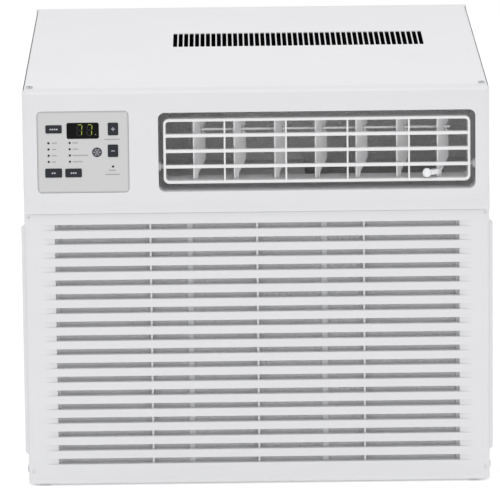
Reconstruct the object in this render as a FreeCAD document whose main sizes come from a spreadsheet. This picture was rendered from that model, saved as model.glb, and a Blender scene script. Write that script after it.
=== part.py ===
import FreeCAD, Part
import math
import os
import re
import Sketcher

# Window air conditioner with a slide-out chassis.
# Row frame in millimetres: X to the viewer's right, Y into the room wall, Z up.
# The origin is under the middle of the case, on the surface that it stands on.

os.makedirs("parts", exist_ok=True)
document = FreeCAD.newDocument("window_air_conditioner")

SIZES = {
    # whole case
    "case_width": 564, "case_height": 488, "case_depth": 610,
    "sheet_wall": 1.2, "case_bend": 6,
    # clearances: faces that slide past each other, pins in their holes, assembly gaps
    "slip": 0.3, "pin_play": 0.05, "assembly_gap": 8,
    # top vents of the case: a row of narrow slots
    "vent_left": -101.2, "vent_count": 46, "vent_pitch": 6.9, "vent_width": 5.3,
    "vent_setback": 311, "vent_length": 99, "vent_round": 2.3,
    # side vents of the case
    "side_vent_count": 12, "side_vent_pitch": 22, "side_vent_width": 7, "side_vent_length": 96,
    "side_vent_foot": 110, "side_vent_inset": 40,
    # fixings of the case
    "screw_head": 4.2, "screw_rise": 1.8, "screw_shank": 1.9, "screw_inset": 9, "screw_setback": 37,
    "sill_hole": 2.6, "sill_spacing": 360, "sill_setback": 90,
    "curtain_hole": 1.8, "curtain_spacing": 300, "curtain_setback": 122, "curtain_foot": 94,
    # case floor and its runners
    "floor_flange": 24, "runner_width": 16, "runner_height": 5, "runner_spread": 190,
    # rear guard
    "guard_depth": 9, "guard_rim": 26, "guard_bar": 2.4, "guard_bar_pitch": 17, "guard_bar_count": 30,
    "guard_rail_count": 4,
    # front fascia
    "fascia_depth": 30, "fascia_inset": 1, "fascia_foot": 1, "fascia_wall": 2.5, "fascia_round": 4,
    "corner_round": 8, "corner_wall": 5,
    "ridge_out": 3, "ridge_drop": 145, "ridge_rise": 9, "ridge_flat": 3, "ridge_lip": 3,
    "inlet_margin": 30, "inlet_foot": 24, "inlet_head": 8,
    # control panel
    "overlay_width": 110, "overlay_height": 99.5, "overlay_margin": 18.5, "overlay_drop": 23.2,
    "overlay_round": 5, "overlay_recess": 1.6, "overlay_thick": 1,
    "button_rise": 0.7, "button_travel": 1, "button_flange": 1.4, "button_flange_thick": 1.2,
    "button_stem": 5, "button_play": 0.3,
    "button_round": 1.2,
    "lens_inset": 35.6, "lens_drop": 13.9, "lens_width": 38.7, "lens_height": 19.5, "lens_thick": 3,
    "lens_rise": 0.3, "lens_round": 2.2, "lens_play": 0.1,
    "light_near": 13.5, "light_far": 39, "light_drop": 38.4, "light_step": 7.67, "delay_inset": 90.8,
    "delay_drop": 67.9, "light_radius": 1.4, "light_play": 0.05, "board_setback": 11, "board_thick": 1.6,
    # discharge opening
    "outlet_gap": 35.5, "outlet_margin": 18, "outlet_drop": 26, "outlet_height": 97, "outlet_round": 8,
    # louver grid
    "louver_side_gap": 6, "louver_low_gap": 8.7, "louver_top_gap": 8.7, "louver_setback": 8,
    "louver_depth": 34, "louver_wall": 3, "louver_rail": 3.6, "louver_bar": 4, "louver_bar_depth": 5,
    "louver_step": 1, "louver_post": 2, "louver_post_margin": 73.9, "louver_bars": 3, "louver_posts":
    4, "louver_round": 7,
    "louver_pin": 3, "louver_pin_height": 28, "louver_pin_setback": 22, "louver_boss": 6,
    # vanes
    "vane_count": 7, "vane_left": 40.3, "vane_right": 35.7, "vane_nose": 8, "vane_tail": 19,
    "vane_thick": 1.8, "vane_pin": 1.5, "vane_pin_seat": 2.6, "vane_end_gap": 0.8, "vane_rest": 31,
    "vane_cut": 23, "vane_cut_rise": 20, "link_reach": 14, "link_pin": 1, "link_width": 5, "link_thick": 2.4,
    "link_drop": 13, "link_notch": 8, "link_notch_reach": 6,
    "knob_ahead": 22.5, "knob_side": 6, "knob_radius": 5.5, "knob_foot": 19.4, "lever_width": 6,
    "lever_thick": 6,
    # inlet grille
    "bead_radius": 8, "grille_gap": 0.6, "slot_count": 18, "slot_pitch": 17.13, "slot_height": 7.3,
    "slot_foot": 27.2, "slot_margin": 37.6, "slot_lip": 0.7, "slat_depth": 9, "ramp_run": 16,
    "ramp_depth": 2.4, "grille_rib": 2.5, "grille_rib_spread": 129,
    "grip_out": 4, "grip_foot": 38, "grip_head": 14, "grip_setback": 6, "grip_depth": 9, "grip_bite": 1,
    "notch_width": 4, "notch_height": 5, "notch_inset": 5,
    "hinge_margin": 20, "hinge_pin": 2.5, "hinge_ear": 4.2, "hinge_ear_width": 6, "hinge_slot": 12,
    "hinge_skin": 3.5, "grille_corner": 9,
    # filter
    "filter_thick": 5, "filter_rim": 7, "mesh_thick": 0.8,
    # base pan and bulkhead
    "pan_side_gap": 6, "pan_wall": 1.5, "pan_lip": 26, "pan_front_gap": 2, "bulkhead_wall": 1.2,
    "bulkhead_drop": 14,
    # evaporator and condenser
    "evaporator_setback": 20, "coil_depth": 44, "coil_plate": 1.5, "fin_pitch": 8, "fin_thick": 0.8,
    "tube_radius": 4.8, "tube_pitch": 38, "tube_row": 22, "coil_margin": 19, "evaporator_head": 12,
    "condenser_setback": 24, "condenser_head": 44, "coil_foot": 5,
    # blower, duct and shroud
    "duct_wall": 5, "scroll_depth": 100, "scroll_wall": 3, "blower_offset": 60, "scroll_margin": 6,
    "wheel_gap": 26, "wheel_depth": 78, "wheel_plate": 2, "wheel_blades": 36, "wheel_blade": 1.6,
    "wheel_ring": 18, "scroll_inlet_lap": 26, "shaft_radius": 6, "shaft_hole": 14,
    "fan_blades": 5, "fan_hub": 24, "fan_depth": 34, "fan_gap": 9, "fan_ring": 3, "blade_thick": 2.4,
    "root_twist": 52, "tip_twist": 24, "shroud_wall": 1.6, "shroud_depth": 46, "seal_gap": 1.8,
    "shroud_collar": 24, "collar_wall": 2.5,
    # motor
    "motor_radius": 56, "motor_length": 96, "motor_setback": 42, "motor_bell": 8, "bracket_wall": 3,
    "bracket_width": 60,
    # compressor and the refrigerant circuit
    "compressor_radius": 66, "compressor_height": 218, "compressor_offset": 180, "compressor_round": 24,
    "compressor_lift": 14, "foot_wall": 3, "grommet_radius": 12, "grommet_ring": 80,
    "stud_radius": 4, "accumulator_radius": 22, "accumulator_height": 120, "accumulator_lift": 46,
    "accumulator_gap": 6, "suction_radius": 6, "hot_gas_radius": 4, "capillary_radius": 1.6,
    "drier_radius": 9, "drier_length": 80,
    # electrical box
    "box_wall": 1, "box_depth": 110, "box_gap": 12, "capacitor_radius": 20, "capacitor_length": 80,
    "thermistor_radius": 3, "thermistor_length": 26,
    # rubber pieces
    "plug_radius": 9, "plug_height": 6, "grommet_hole": 7, "grommet_lip": 3, "cord_hole": 4.5,
    "cord_setback": 68, "cord_foot": 44,
}

BUTTONS = {
    # name: distance of its left side from the panel's left, its width, its top below the panel's top, height
    "power_button": (10.4, 19.2, 16.7, 9.6),
    "fan_button": (9.3, 19.8, 69.8, 10.7),
    "mode_button": (33.4, 19.5, 70.1, 10.3),
    "plus_button": (85.4, 12.0, 14.4, 15.0),
    "minus_button": (85.0, 12.0, 41.2, 14.8),
}
for name, sides in BUTTONS.items():
    for side, size in zip(("inset", "width", "drop", "height"), sides):
        SIZES[f"{name}_{side}"] = size

# Places worked out from the sizes, used by name in the expressions below.
PLACES = {
    "front": "-case_depth/2",
    "back": "case_depth/2",
    "face_y": "front + ridge_out",
    "floor_y": "face_y + overlay_recess",
    "inner_y": "face_y + fascia_wall",
    "fascia_back": "front + fascia_depth",
    "fascia_half": "case_width/2 - fascia_inset",
    "ridge_z": "case_height - ridge_drop",
    "fascia_seam": "ridge_z - ridge_lip",
    "grille_top": "fascia_seam - grille_gap",
    "bead_y": "face_y + bead_radius",
    "bead_z": "fascia_foot + bead_radius",
    "skirt_back": "face_y + 2*bead_radius",
    "seat_y": "skirt_back + 2*slip",
    "slat_back": "face_y + slat_depth",
    "inlet_half": "case_width/2 - inlet_margin",
    "inlet_low": "inlet_foot",
    "inlet_high": "fascia_seam - inlet_head",
    "slot_half": "case_width/2 - slot_margin",
    "overlay_left": "overlay_margin - case_width/2",
    "overlay_right": "overlay_left + overlay_width",
    "overlay_top": "case_height - overlay_drop",
    "overlay_low": "overlay_top - overlay_height",
    "outlet_left": "overlay_right + outlet_gap",
    "outlet_right": "case_width/2 - outlet_margin",
    "outlet_top": "case_height - outlet_drop",
    "outlet_low": "outlet_top - outlet_height",
    "louver_left": "outlet_left + louver_side_gap",
    "louver_right": "outlet_right - louver_side_gap",
    "louver_low": "outlet_low + louver_low_gap",
    "louver_top": "outlet_top - louver_top_gap",
    "louver_front": "front + louver_setback",
    "louver_back": "louver_front + louver_depth",
    "pivot_y": "front + louver_pin_setback",
    "pivot_z": "outlet_low + louver_pin_height",
    "vane_first": "louver_left + vane_left",
    "vane_step": "(louver_right - vane_right - vane_first)/(vane_count - 1)",
    "vane_low": "louver_low + louver_rail + vane_end_gap",
    "vane_high": "louver_top - louver_rail - vane_end_gap",
    "link_z": "vane_high - link_drop",
    "runner_top": "sheet_wall + runner_height",
    "pan_low": "runner_top + slip",
    "pan_top": "pan_low + pan_wall",
    "pan_half": "case_width/2 - sheet_wall - pan_side_gap",
    "duct_low": "outlet_low - duct_wall",
    "evaporator_front": "fascia_back + evaporator_setback",
    "evaporator_back": "evaporator_front + coil_depth",
    "evaporator_high": "duct_low - evaporator_head",
    "coil_low": "pan_top + coil_foot",
    "coil_half": "pan_half - coil_margin",
    "scroll_front": "evaporator_back + assembly_gap",
    "scroll_back": "scroll_front + scroll_depth",
    "bulkhead_back": "scroll_back + bulkhead_wall",
    "blower_z": "(pan_top + duct_low)/2",
    "scroll_radius": "(duct_low - pan_top)/2 - scroll_margin",
    "wheel_radius": "scroll_radius - wheel_gap",
    "motor_front": "bulkhead_back + motor_setback",
    "motor_back": "motor_front + motor_length",
    "condenser_back": "back - condenser_setback",
    "condenser_front": "condenser_back - coil_depth",
    "condenser_high": "case_height - condenser_head",
    "shroud_front": "condenser_front - shroud_depth",
    "collar_front": "shroud_front - shroud_collar",
    "fan_radius": "blower_z - pan_top - assembly_gap",
    "compressor_y": "(bulkhead_back + collar_front)/2",
    "compressor_low": "pan_top + compressor_lift",
    "compressor_high": "compressor_low + compressor_height",
    "box_low": "overlay_low",
    "box_front": "fascia_back + box_gap",
    "board_y": "face_y + board_setback",
    "flange_y": "inner_y + slip",
}

sheet = document.addObject("Spreadsheet::Sheet", "sizes")
for row, (alias, size) in enumerate(SIZES.items(), 1):
    sheet.set(f"A{row}", alias)
    sheet.set(f"B{row}", str(size))
    sheet.setAlias(f"B{row}", alias)
document.recompute()

finished = {}


# ---------------------------------------------------------------- expressions

def bound(text):
    """Writes a size formula out for the sheet: places expand, and sizes get the sheet's name."""
    def written(match):
        word = match.group(0)
        if word in PLACES:
            return "(" + bound(PLACES[word]) + ")"
        return "sizes." + word if word in SIZES else word
    return re.sub(r"[a-z][a-z_0-9]*", written, str(text))


def value(text):
    return float(sheet.evalExpression(bound(text)))


def point(x, y, z):
    return FreeCAD.Vector(value(x), value(y), value(z))


def opposite(text):
    return f"-({text})"


# ---------------------------------------------------------------- sketches

# The origin plane of each view, and the sign of its normal along the row axis.
VIEWS = {"front": ("XZ_Plane", -1), "top": ("XY_Plane", 1), "side": ("YZ_Plane", 1)}


def pin(sketch, kind, line, end, text):
    """Holds one end of a line at a distance from the sketch's origin that the sheet gives."""
    number = sketch.addConstraint(Sketcher.Constraint(kind, -1, 1, line, end, value(text)))
    sketch.setExpression(f"Constraints[{number}]", bound(text))


def polygon(*points):
    def draw(sketch):
        first = sketch.GeometryCount
        spots = [FreeCAD.Vector(value(x), value(y), 0) for x, y in points]
        for index, spot in enumerate(spots):
            sketch.addGeometry(Part.LineSegment(spot, spots[(index + 1) % len(spots)]), False)
        for index in range(len(spots)):
            after = first + (index + 1) % len(spots)
            sketch.addConstraint(Sketcher.Constraint("Coincident", first + index, 2, after, 1))
        for index, (x, y) in enumerate(points):
            pin(sketch, "DistanceX", first + index, 1, x)
            pin(sketch, "DistanceY", first + index, 1, y)
    return draw


def rectangle(left, right, low, high):
    return polygon((left, low), (right, low), (right, high), (left, high))


def disc(x, y, radius):
    def draw(sketch):
        circle = Part.Circle(FreeCAD.Vector(value(x), value(y), 0), FreeCAD.Vector(0, 0, 1), value(radius))
        line = sketch.addGeometry(circle, False)
        number = sketch.addConstraint(Sketcher.Constraint("Radius", line, value(radius)))
        sketch.setExpression(f"Constraints[{number}]", bound(radius))
        pin(sketch, "DistanceX", line, 3, x)
        pin(sketch, "DistanceY", line, 3, y)
    return draw


def corner(x, y, radius, x_sign="", y_sign=""):
    """What a round takes off a square corner at x, y: two lines and the arc that joins their ends."""
    inner_x, inner_y = f"{x} - {x_sign}({radius})", f"{y} - {y_sign}({radius})"

    def draw(sketch):
        first = sketch.GeometryCount
        near_x, near_y, far_x, far_y, r = (value(text) for text in (inner_x, inner_y, x, y, radius))
        start, tip, end = (near_x, far_y), (far_x, far_y), (far_x, near_y)
        for one, other in ((start, tip), (tip, end)):
            sketch.addGeometry(Part.LineSegment(FreeCAD.Vector(*one, 0), FreeCAD.Vector(*other, 0)), False)
        turns = sorted((math.atan2(0, far_x - near_x), math.atan2(far_y - near_y, 0)))
        if turns[1] - turns[0] > math.pi:
            turns = [turns[1], turns[0] + 2 * math.pi]
        circle = Part.Circle(FreeCAD.Vector(near_x, near_y, 0), FreeCAD.Vector(0, 0, 1), r)
        sketch.addGeometry(Part.ArcOfCircle(circle, *turns), False)
        arc = first + 2
        arc_ends = {1: turns[0], 2: turns[1]}
        for point_number, turn in arc_ends.items():
            on_start = abs(math.cos(turn)) < 0.5
            line, line_end = (first, 1) if on_start else (first + 1, 2)
            sketch.addConstraint(Sketcher.Constraint("Coincident", arc, point_number, line, line_end))
        sketch.addConstraint(Sketcher.Constraint("Coincident", first, 2, first + 1, 1))
        number = sketch.addConstraint(Sketcher.Constraint("Radius", arc, r))
        sketch.setExpression(f"Constraints[{number}]", bound(radius))
        for line, line_end, place in ((first, 1, (inner_x, y)), (first, 2, (x, y)),
                                      (first + 1, 2, (x, inner_y))):
            pin(sketch, "DistanceX", line, line_end, place[0])
            pin(sketch, "DistanceY", line, line_end, place[1])
    return draw


def rounded(left, right, low, high, radius):
    """A rectangle with four equal round corners: four lines, then four arcs tangent to them."""
    def draw(sketch):
        first = sketch.GeometryCount
        x0, x1, y0, y1, r = (value(text) for text in (left, right, low, high, radius))
        lines = [((x0 + r, y0), (x1 - r, y0)), ((x1, y0 + r), (x1, y1 - r)),
                 ((x1 - r, y1), (x0 + r, y1)), ((x0, y1 - r), (x0, y0 + r))]
        centres = [(x1 - r, y0 + r), (x1 - r, y1 - r), (x0 + r, y1 - r), (x0 + r, y0 + r)]
        for start, end in lines:
            sketch.addGeometry(Part.LineSegment(FreeCAD.Vector(*start, 0), FreeCAD.Vector(*end, 0)), False)
        for quarter, centre in enumerate(centres):
            circle = Part.Circle(FreeCAD.Vector(*centre, 0), FreeCAD.Vector(0, 0, 1), r)
            turn = quarter * math.pi / 2
            sketch.addGeometry(Part.ArcOfCircle(circle, turn - math.pi / 2, turn), False)
        for side in range(4):
            arc = first + 4 + side
            sketch.addConstraint(Sketcher.Constraint("Tangent", first + side, 2, arc, 1))
            sketch.addConstraint(Sketcher.Constraint("Tangent", arc, 2, first + (side + 1) % 4, 1))
        for side in (0, 2):
            sketch.addConstraint(Sketcher.Constraint("Horizontal", first + side))
            sketch.addConstraint(Sketcher.Constraint("Vertical", first + side + 1))
        for side in (1, 2, 3):
            sketch.addConstraint(Sketcher.Constraint("Equal", first + 4, first + 4 + side))
        number = sketch.addConstraint(Sketcher.Constraint("Radius", first + 4, r))
        sketch.setExpression(f"Constraints[{number}]", bound(radius))
        pin(sketch, "DistanceY", first, 1, low)
        pin(sketch, "DistanceX", first + 1, 1, right)
        pin(sketch, "DistanceY", first + 2, 1, high)
        pin(sketch, "DistanceX", first + 3, 1, left)
    return draw


def sketched(body, view, place, outlines):
    role, sign = VIEWS[view]
    plane = next(item for item in body.Origin.OriginFeatures if item.Role == role)
    sketch = body.newObject("Sketcher::SketchObject", body.Name + "_sketch")
    sketch.AttachmentSupport = [(plane, "")]
    sketch.MapMode = "FlatFace"
    sketch.setExpression("AttachmentOffset.Base.z", bound(place if sign > 0 else opposite(place)))
    for outline in outlines:
        outline(sketch)
    return sketch


# ---------------------------------------------------------------- solid features

def body_named(name):
    body = document.addObject("PartDesign::Body", name)
    body.Label = name
    finished[name] = body
    return body


def add(body, view, low, high, *outlines):
    """Pads outlines from low to high along the view's row axis."""
    start = high if view == "front" else low
    sketch = sketched(body, view, start, outlines)
    pad = body.newObject("PartDesign::Pad", body.Name + "_pad")
    pad.Profile = sketch
    pad.setExpression("Length", bound(f"({high}) - ({low})"))
    document.recompute()
    return pad


def cut(body, view, low, high, *outlines):
    """Pockets outlines from low to high along the view's row axis, and proves that it cut something."""
    before = body.Shape.Volume
    start = low if view == "front" else high
    sketch = sketched(body, view, start, outlines)
    pocket = body.newObject("PartDesign::Pocket", body.Name + "_cut")
    pocket.Profile = sketch
    pocket.setExpression("Length", bound(f"({high}) - ({low})"))
    document.recompute()
    if not body.Shape.Volume < before:
        raise RuntimeError(f"{body.Label}: a pocket cut nothing")
    return pocket


def repeat(body, features, axis, count, pitch):
    """Repeats features in a line along the sketch's H_Axis or V_Axis."""
    pattern = body.newObject("PartDesign::LinearPattern", body.Name + "_row")
    pattern.Originals = features
    pattern.Direction = (features[0].Profile[0], [axis])
    pattern.Mode = "Spacing"
    pattern.setExpression("Offset", bound(pitch))
    pattern.setExpression("Occurrences", bound(count))
    body.Tip = pattern
    document.recompute()
    return pattern


def spin(body, features, count):
    """Repeats features in a full circle about the normal of their own sketch."""
    pattern = body.newObject("PartDesign::PolarPattern", body.Name + "_ring")
    pattern.Originals = features
    pattern.Axis = (features[0].Profile[0], ["N_Axis"])
    pattern.Angle = 360
    pattern.setExpression("Occurrences", bound(count))
    body.Tip = pattern
    document.recompute()
    return pattern


def soften(body, radius, wanted):
    """Rounds the edges of a body whose bounding boxes pass a test."""
    names = [f"Edge{number}" for number, edge in enumerate(body.Shape.Edges, 1) if wanted(edge.BoundBox)]
    if not names:
        raise RuntimeError(f"{body.Label}: no edge to round")
    rounded_feature = body.Tip
    fillet = body.newObject("PartDesign::Fillet", body.Name + "_round")
    fillet.Base = (rounded_feature, names)
    fillet.setExpression("Radius", bound(radius))
    document.recompute()
    return fillet


def near(first, second):
    return abs(first - second) < 1e-3


# ---------------------------------------------------------------- solids from primitives

def block(name, left, right, near_y, far_y, low, high):
    box = document.addObject("Part::Box", name)
    for side, start, end in (("Length", left, right), ("Width", near_y, far_y), ("Height", low, high)):
        box.setExpression(side, bound(f"({end}) - ({start})"))
    for axis, start in (("x", left), ("y", near_y), ("z", low)):
        box.setExpression(f"Placement.Base.{axis}", bound(start))
    return box


def rod(name, axis, x, y, z, length, radius):
    """A cylinder that starts at a point and runs along +X, +Y or +Z."""
    turns = {"x": (0, 1, 0, 90), "y": (1, 0, 0, -90), "z": (0, 0, 1, 0)}
    cylinder = document.addObject("Part::Cylinder", name)
    *direction, angle = turns[axis]
    cylinder.Placement = FreeCAD.Placement(FreeCAD.Vector(),
                                           FreeCAD.Rotation(FreeCAD.Vector(*direction), angle))
    cylinder.setExpression("Radius", bound(radius))
    cylinder.setExpression("Height", bound(length))
    for side, start in (("x", x), ("y", y), ("z", z)):
        cylinder.setExpression(f"Placement.Base.{side}", bound(start))
    return cylinder


def joined(name, *pieces):
    fuse = document.addObject("Part::MultiFuse", name)
    fuse.Shapes = list(pieces)
    return fuse


def grouped(name, *pieces):
    group = document.addObject("Part::Compound", name)
    group.Links = list(pieces)
    return group


def without(name, piece, tool):
    result = document.addObject("Part::Cut", name)
    result.Base = piece
    result.Tool = tool
    return result


def keep(name, feature):
    """Marks a document object as a finished sub-part, under its own label."""
    feature.Label = name
    finished[name] = feature
    return feature


def shaped(name, shape):
    """A sub-part whose solids are worked out by its own function."""
    feature = document.addObject("Part::Feature", name)
    feature.Shape = shape
    feature.Placement = FreeCAD.Placement()
    return keep(name, feature)


# ---------------------------------------------------------------- case

def cabinet_wrap():
    """Top and both sides of the case, bent from one sheet, with vents and fixing holes."""
    body = body_named("cabinet_wrap")
    add(body, "front", "fascia_back + slip", "back - guard_depth",
        rectangle("-case_width/2", "case_width/2", "sheet_wall", "case_height"))
    soften(body, "case_bend", lambda box: box.YLength > 1 and near(box.ZMin, box.ZMax)
           and near(box.ZMax, value("case_height")))
    cut(body, "front", "fascia_back + slip", "back - guard_depth",
        rectangle("sheet_wall - case_width/2", "case_width/2 - sheet_wall", "0", "case_height - sheet_wall"))
    vent = cut(body, "top", "case_height - 2*sheet_wall", "case_height + sheet_wall",
               rounded("vent_left", "vent_left + vent_width", "front + vent_setback",
                       "front + vent_setback + vent_length", "vent_round"))
    repeat(body, [vent], "H_Axis", "vent_count", "vent_pitch")
    vent_end = "back - guard_depth - side_vent_inset"
    side_vent = cut(body, "side", "-case_width", "case_width",
                    rounded(f"{vent_end} - side_vent_length", vent_end, "side_vent_foot",
                            "side_vent_foot + side_vent_width", "side_vent_width/2.2"))
    repeat(body, [side_vent], "V_Axis", "side_vent_count", "side_vent_pitch")
    cut(body, "side", "-case_width", "case_width",
        disc("front + curtain_setback", "curtain_foot", "curtain_hole"),
        disc("front + curtain_setback", "curtain_foot + curtain_spacing", "curtain_hole"))
    cut(body, "side", "0", "case_width", disc("front + cord_setback", "cord_foot", "grommet_hole"))
    for x in ("case_width/2 - screw_inset", "screw_inset - case_width/2"):
        cut(body, "top", "case_height - 2*sheet_wall", "case_height + sheet_wall",
            disc(x, "front + screw_setback", "screw_shank"))
    for y in ("front + screw_setback + 2*screw_head", "0", "back - screw_setback"):
        cut(body, "side", "-case_width", "case_width", disc(y, "floor_flange/2", "screw_shank"))


def cabinet_base():
    """Bottom tray of the case, with side flanges inside the wrap and two sill screw holes."""
    body = body_named("cabinet_base")
    inner = "case_width/2 - sheet_wall"
    add(body, "front", "fascia_back + slip", "back - guard_depth",
        polygon((opposite(inner), 0), (inner, 0), (inner, "floor_flange"),
                (f"{inner} - sheet_wall", "floor_flange"), (f"{inner} - sheet_wall", "sheet_wall"),
                (f"sheet_wall - ({inner})", "sheet_wall"), (f"sheet_wall - ({inner})", "floor_flange"),
                (opposite(inner), "floor_flange")))
    cut(body, "top", "0", "sheet_wall", disc("-sill_spacing/2", "front + sill_setback", "sill_hole"),
        disc("sill_spacing/2", "front + sill_setback", "sill_hole"))
    for y in ("front + screw_setback + 2*screw_head", "0", "back - screw_setback"):
        cut(body, "side", "-case_width", "case_width", disc(y, "floor_flange/2", "screw_shank"))


def slide_rails():
    """Two plastic runners on the case floor, on which the base pan slides."""
    runners = []
    for side, middle in (("left", "-runner_spread"), ("right", "runner_spread")):
        runners.append(block(f"runner_{side}", f"{middle} - runner_width/2", f"{middle} + runner_width/2",
                             "fascia_back + assembly_gap", "back - guard_depth", "sheet_wall", "runner_top"))
    keep("slide_rails", grouped("slide_rails", *runners))


def rear_guard():
    """Rear frame of the case with its bars in front of the condenser."""
    body = body_named("rear_guard")
    half = "case_width/2"
    low, high = "guard_rim", "case_height - guard_rim"
    add(body, "front", "back - guard_depth", "back - sheet_wall",
        rectangle(opposite(half), half, "sheet_wall", "case_height"))
    cut(body, "front", "back - guard_depth", "back - sheet_wall",
        rectangle(f"guard_rim - {half}", f"{half} - guard_rim", low, high))
    bar = add(body, "front", "back - sheet_wall - guard_bar", "back - sheet_wall",
              rectangle("-guard_bar_pitch*(guard_bar_count - 1)/2 - guard_bar/2",
                        "-guard_bar_pitch*(guard_bar_count - 1)/2 + guard_bar/2", low, high))
    repeat(body, [bar], "H_Axis", "guard_bar_count", "guard_bar_pitch")
    rail = add(body, "front", "back - sheet_wall - guard_bar", "back",
               rectangle(f"guard_rim - {half}", f"{half} - guard_rim",
                         f"{low} + ({high} - {low})/(guard_rail_count + 1) - guard_bar",
                         f"{low} + ({high} - {low})/(guard_rail_count + 1) + guard_bar"))
    repeat(body, [rail], "V_Axis", "guard_rail_count", f"({high} - ({low}))/(guard_rail_count + 1)")


def cabinet_screws():
    """Screws that hold the wrap: two on the top corners and three low on each side."""
    pieces = []
    shank = "4*sheet_wall"
    for side, x in (("left", "screw_inset - case_width/2"), ("right", "case_width/2 - screw_inset")):
        y = "front + screw_setback"
        head = rod(f"top_head_{side}", "z", x, y, "case_height", "screw_rise", "screw_head")
        stem = rod(f"top_stem_{side}", "z", x, y, f"case_height - {shank}", shank, "screw_shank")
        pieces.append(joined(f"top_screw_{side}", head, stem))
    for number, y in enumerate(("front + screw_setback + 2*screw_head", "0", "back - screw_setback")):
        for side, head_x, stem_x in (("left", "-case_width/2 - screw_rise", "-case_width/2"),
                                     ("right", "case_width/2", f"case_width/2 - {shank}")):
            head = rod(f"side_head_{side}_{number}", "x", head_x, y, "floor_flange/2", "screw_rise",
                       "screw_head")
            stem = rod(f"side_stem_{side}_{number}", "x", stem_x, y, "floor_flange/2", shank, "screw_shank")
            pieces.append(joined(f"side_screw_{side}_{number}", head, stem))
    keep("cabinet_screws", grouped("cabinet_screws", *pieces))


def cord_grommet():
    """Rubber bush in the right side of the case, where a supply cord would leave."""
    wall = "case_width/2 - sheet_wall"
    place = ("front + cord_setback", "cord_foot")
    outside = rod("grommet_outside", "x", "case_width/2", *place, "grommet_lip/2",
                  "grommet_hole + grommet_lip")
    inside = rod("grommet_inside", "x", f"{wall} - grommet_lip/2", *place, "grommet_lip/2",
                 "grommet_hole + grommet_lip")
    neck = rod("grommet_neck", "x", f"{wall} - grommet_lip/2", *place, "sheet_wall + grommet_lip",
               "grommet_hole")
    hole = rod("grommet_bore", "x", f"{wall} - grommet_lip", *place, "3*grommet_lip", "cord_hole")
    keep("cord_grommet", without("cord_grommet", joined("grommet_body", outside, inside, neck), hole))


# ---------------------------------------------------------------- front

LIGHTS = [(column, f"light_drop + {row}*light_step") for column in ("light_near", "light_far")
          for row in range(4)] + [("delay_inset", "delay_drop")]


def button_outline(name, grow):
    """The outline of one button, or of its hole when it grows by a clearance."""
    left, top = f"overlay_left + {name}_inset", f"overlay_top - {name}_drop"
    return rounded(f"{left} - ({grow})", f"{left} + {name}_width + {grow}",
                   f"{top} - {name}_height - ({grow})", f"{top} + {grow}", f"button_round + {grow}")


def button_middle(name):
    """The X and Z of the middle of one button."""
    return (f"overlay_left + {name}_inset + {name}_width/2",
            f"overlay_top - {name}_drop - {name}_height/2")


def lens_outline(grow):
    left, top = "overlay_left + lens_inset", "overlay_top - lens_drop"
    return rounded(f"{left} - ({grow})", f"{left} + lens_width + {grow}", f"{top} - lens_height - ({grow})",
                   f"{top} + {grow}", f"lens_round + {grow}")


def light_outline(column, drop, grow):
    return disc(f"overlay_left + {column}", f"overlay_top - ({drop})", f"light_radius + {grow}")


def panel_holes():
    holes = [button_outline(name, "button_play") for name in BUTTONS]
    holes.append(lens_outline("lens_play"))
    holes += [light_outline(column, drop, "light_play") for column, drop in LIGHTS]
    return holes


def front_fascia():
    """Moulded front: upper panel with its ridge, outlet collar, lower frame, ears and louver bosses."""
    body = body_named("front_fascia")
    half = "fascia_half"
    add(body, "side", opposite(half), half,
        polygon(("fascia_back", "case_height"), ("face_y", "case_height"), ("face_y", "ridge_z + ridge_rise"),
                ("front", "ridge_z"), ("front", "ridge_z - ridge_flat"), ("face_y", "fascia_seam"),
                ("seat_y", "fascia_seam"), ("seat_y", "fascia_foot"), ("fascia_back", "fascia_foot")))
    face = value("face_y")
    soften(body, "corner_round", lambda box: near(box.YMin, face) and near(box.YMax, face)
           and near(box.ZMin, value("ridge_z + ridge_rise")) and not near(box.ZMax, box.ZMin))
    soften(body, "fascia_round", lambda box: near(box.YMin, face) and near(box.YMax, face)
           and near(box.ZMin, value("case_height")))
    cut(body, "front", "inner_y", "fascia_back",
        rectangle(f"corner_wall - {half}", f"{half} - corner_wall", "fascia_seam + fascia_wall",
                  "case_height - fascia_wall"))
    cut(body, "front", "seat_y", "fascia_back",
        rectangle("-inlet_half", "inlet_half", "inlet_low", "inlet_high"))
    add(body, "front", "inner_y", "fascia_back",
        rounded("outlet_left - fascia_wall", "outlet_right + fascia_wall", "outlet_low - fascia_wall",
                "outlet_top + fascia_wall", "outlet_round + fascia_wall"))
    cut(body, "front", "front", "fascia_back",
        rounded("outlet_left", "outlet_right", "outlet_low", "outlet_top", "outlet_round"))
    cut(body, "front", "front", "floor_y",
        rounded("overlay_left - slip", "overlay_right + slip", "overlay_low - slip", "overlay_top + slip",
                "overlay_round + slip"))
    cut(body, "front", "front", "inner_y", *panel_holes())
    for left, right in (("outlet_left", "outlet_left + louver_side_gap/2"),
                        ("outlet_right - louver_side_gap/2", "outlet_right")):
        add(body, "side", left, right, disc("pivot_y", "pivot_z", "louver_boss"))
    cut(body, "side", "outlet_left - 2*fascia_wall", "outlet_right + 2*fascia_wall",
        disc("pivot_y", "pivot_z", "louver_pin + pin_play"))
    for x in ("hinge_margin - case_width/2", "case_width/2 - hinge_margin"):
        sides = (f"{x} - hinge_ear_width/2", f"{x} + hinge_ear_width/2")
        add(body, "side", *sides, disc("bead_y", "bead_z", "hinge_ear"))
        add(body, "side", *sides, rectangle("bead_y + hinge_pin + 2*pin_play", "seat_y + fascia_wall",
                                            "bead_z - hinge_pin", "bead_z + hinge_pin"))
        cut(body, "side", *sides, disc("bead_y", "bead_z", "hinge_pin + pin_play"))


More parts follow.
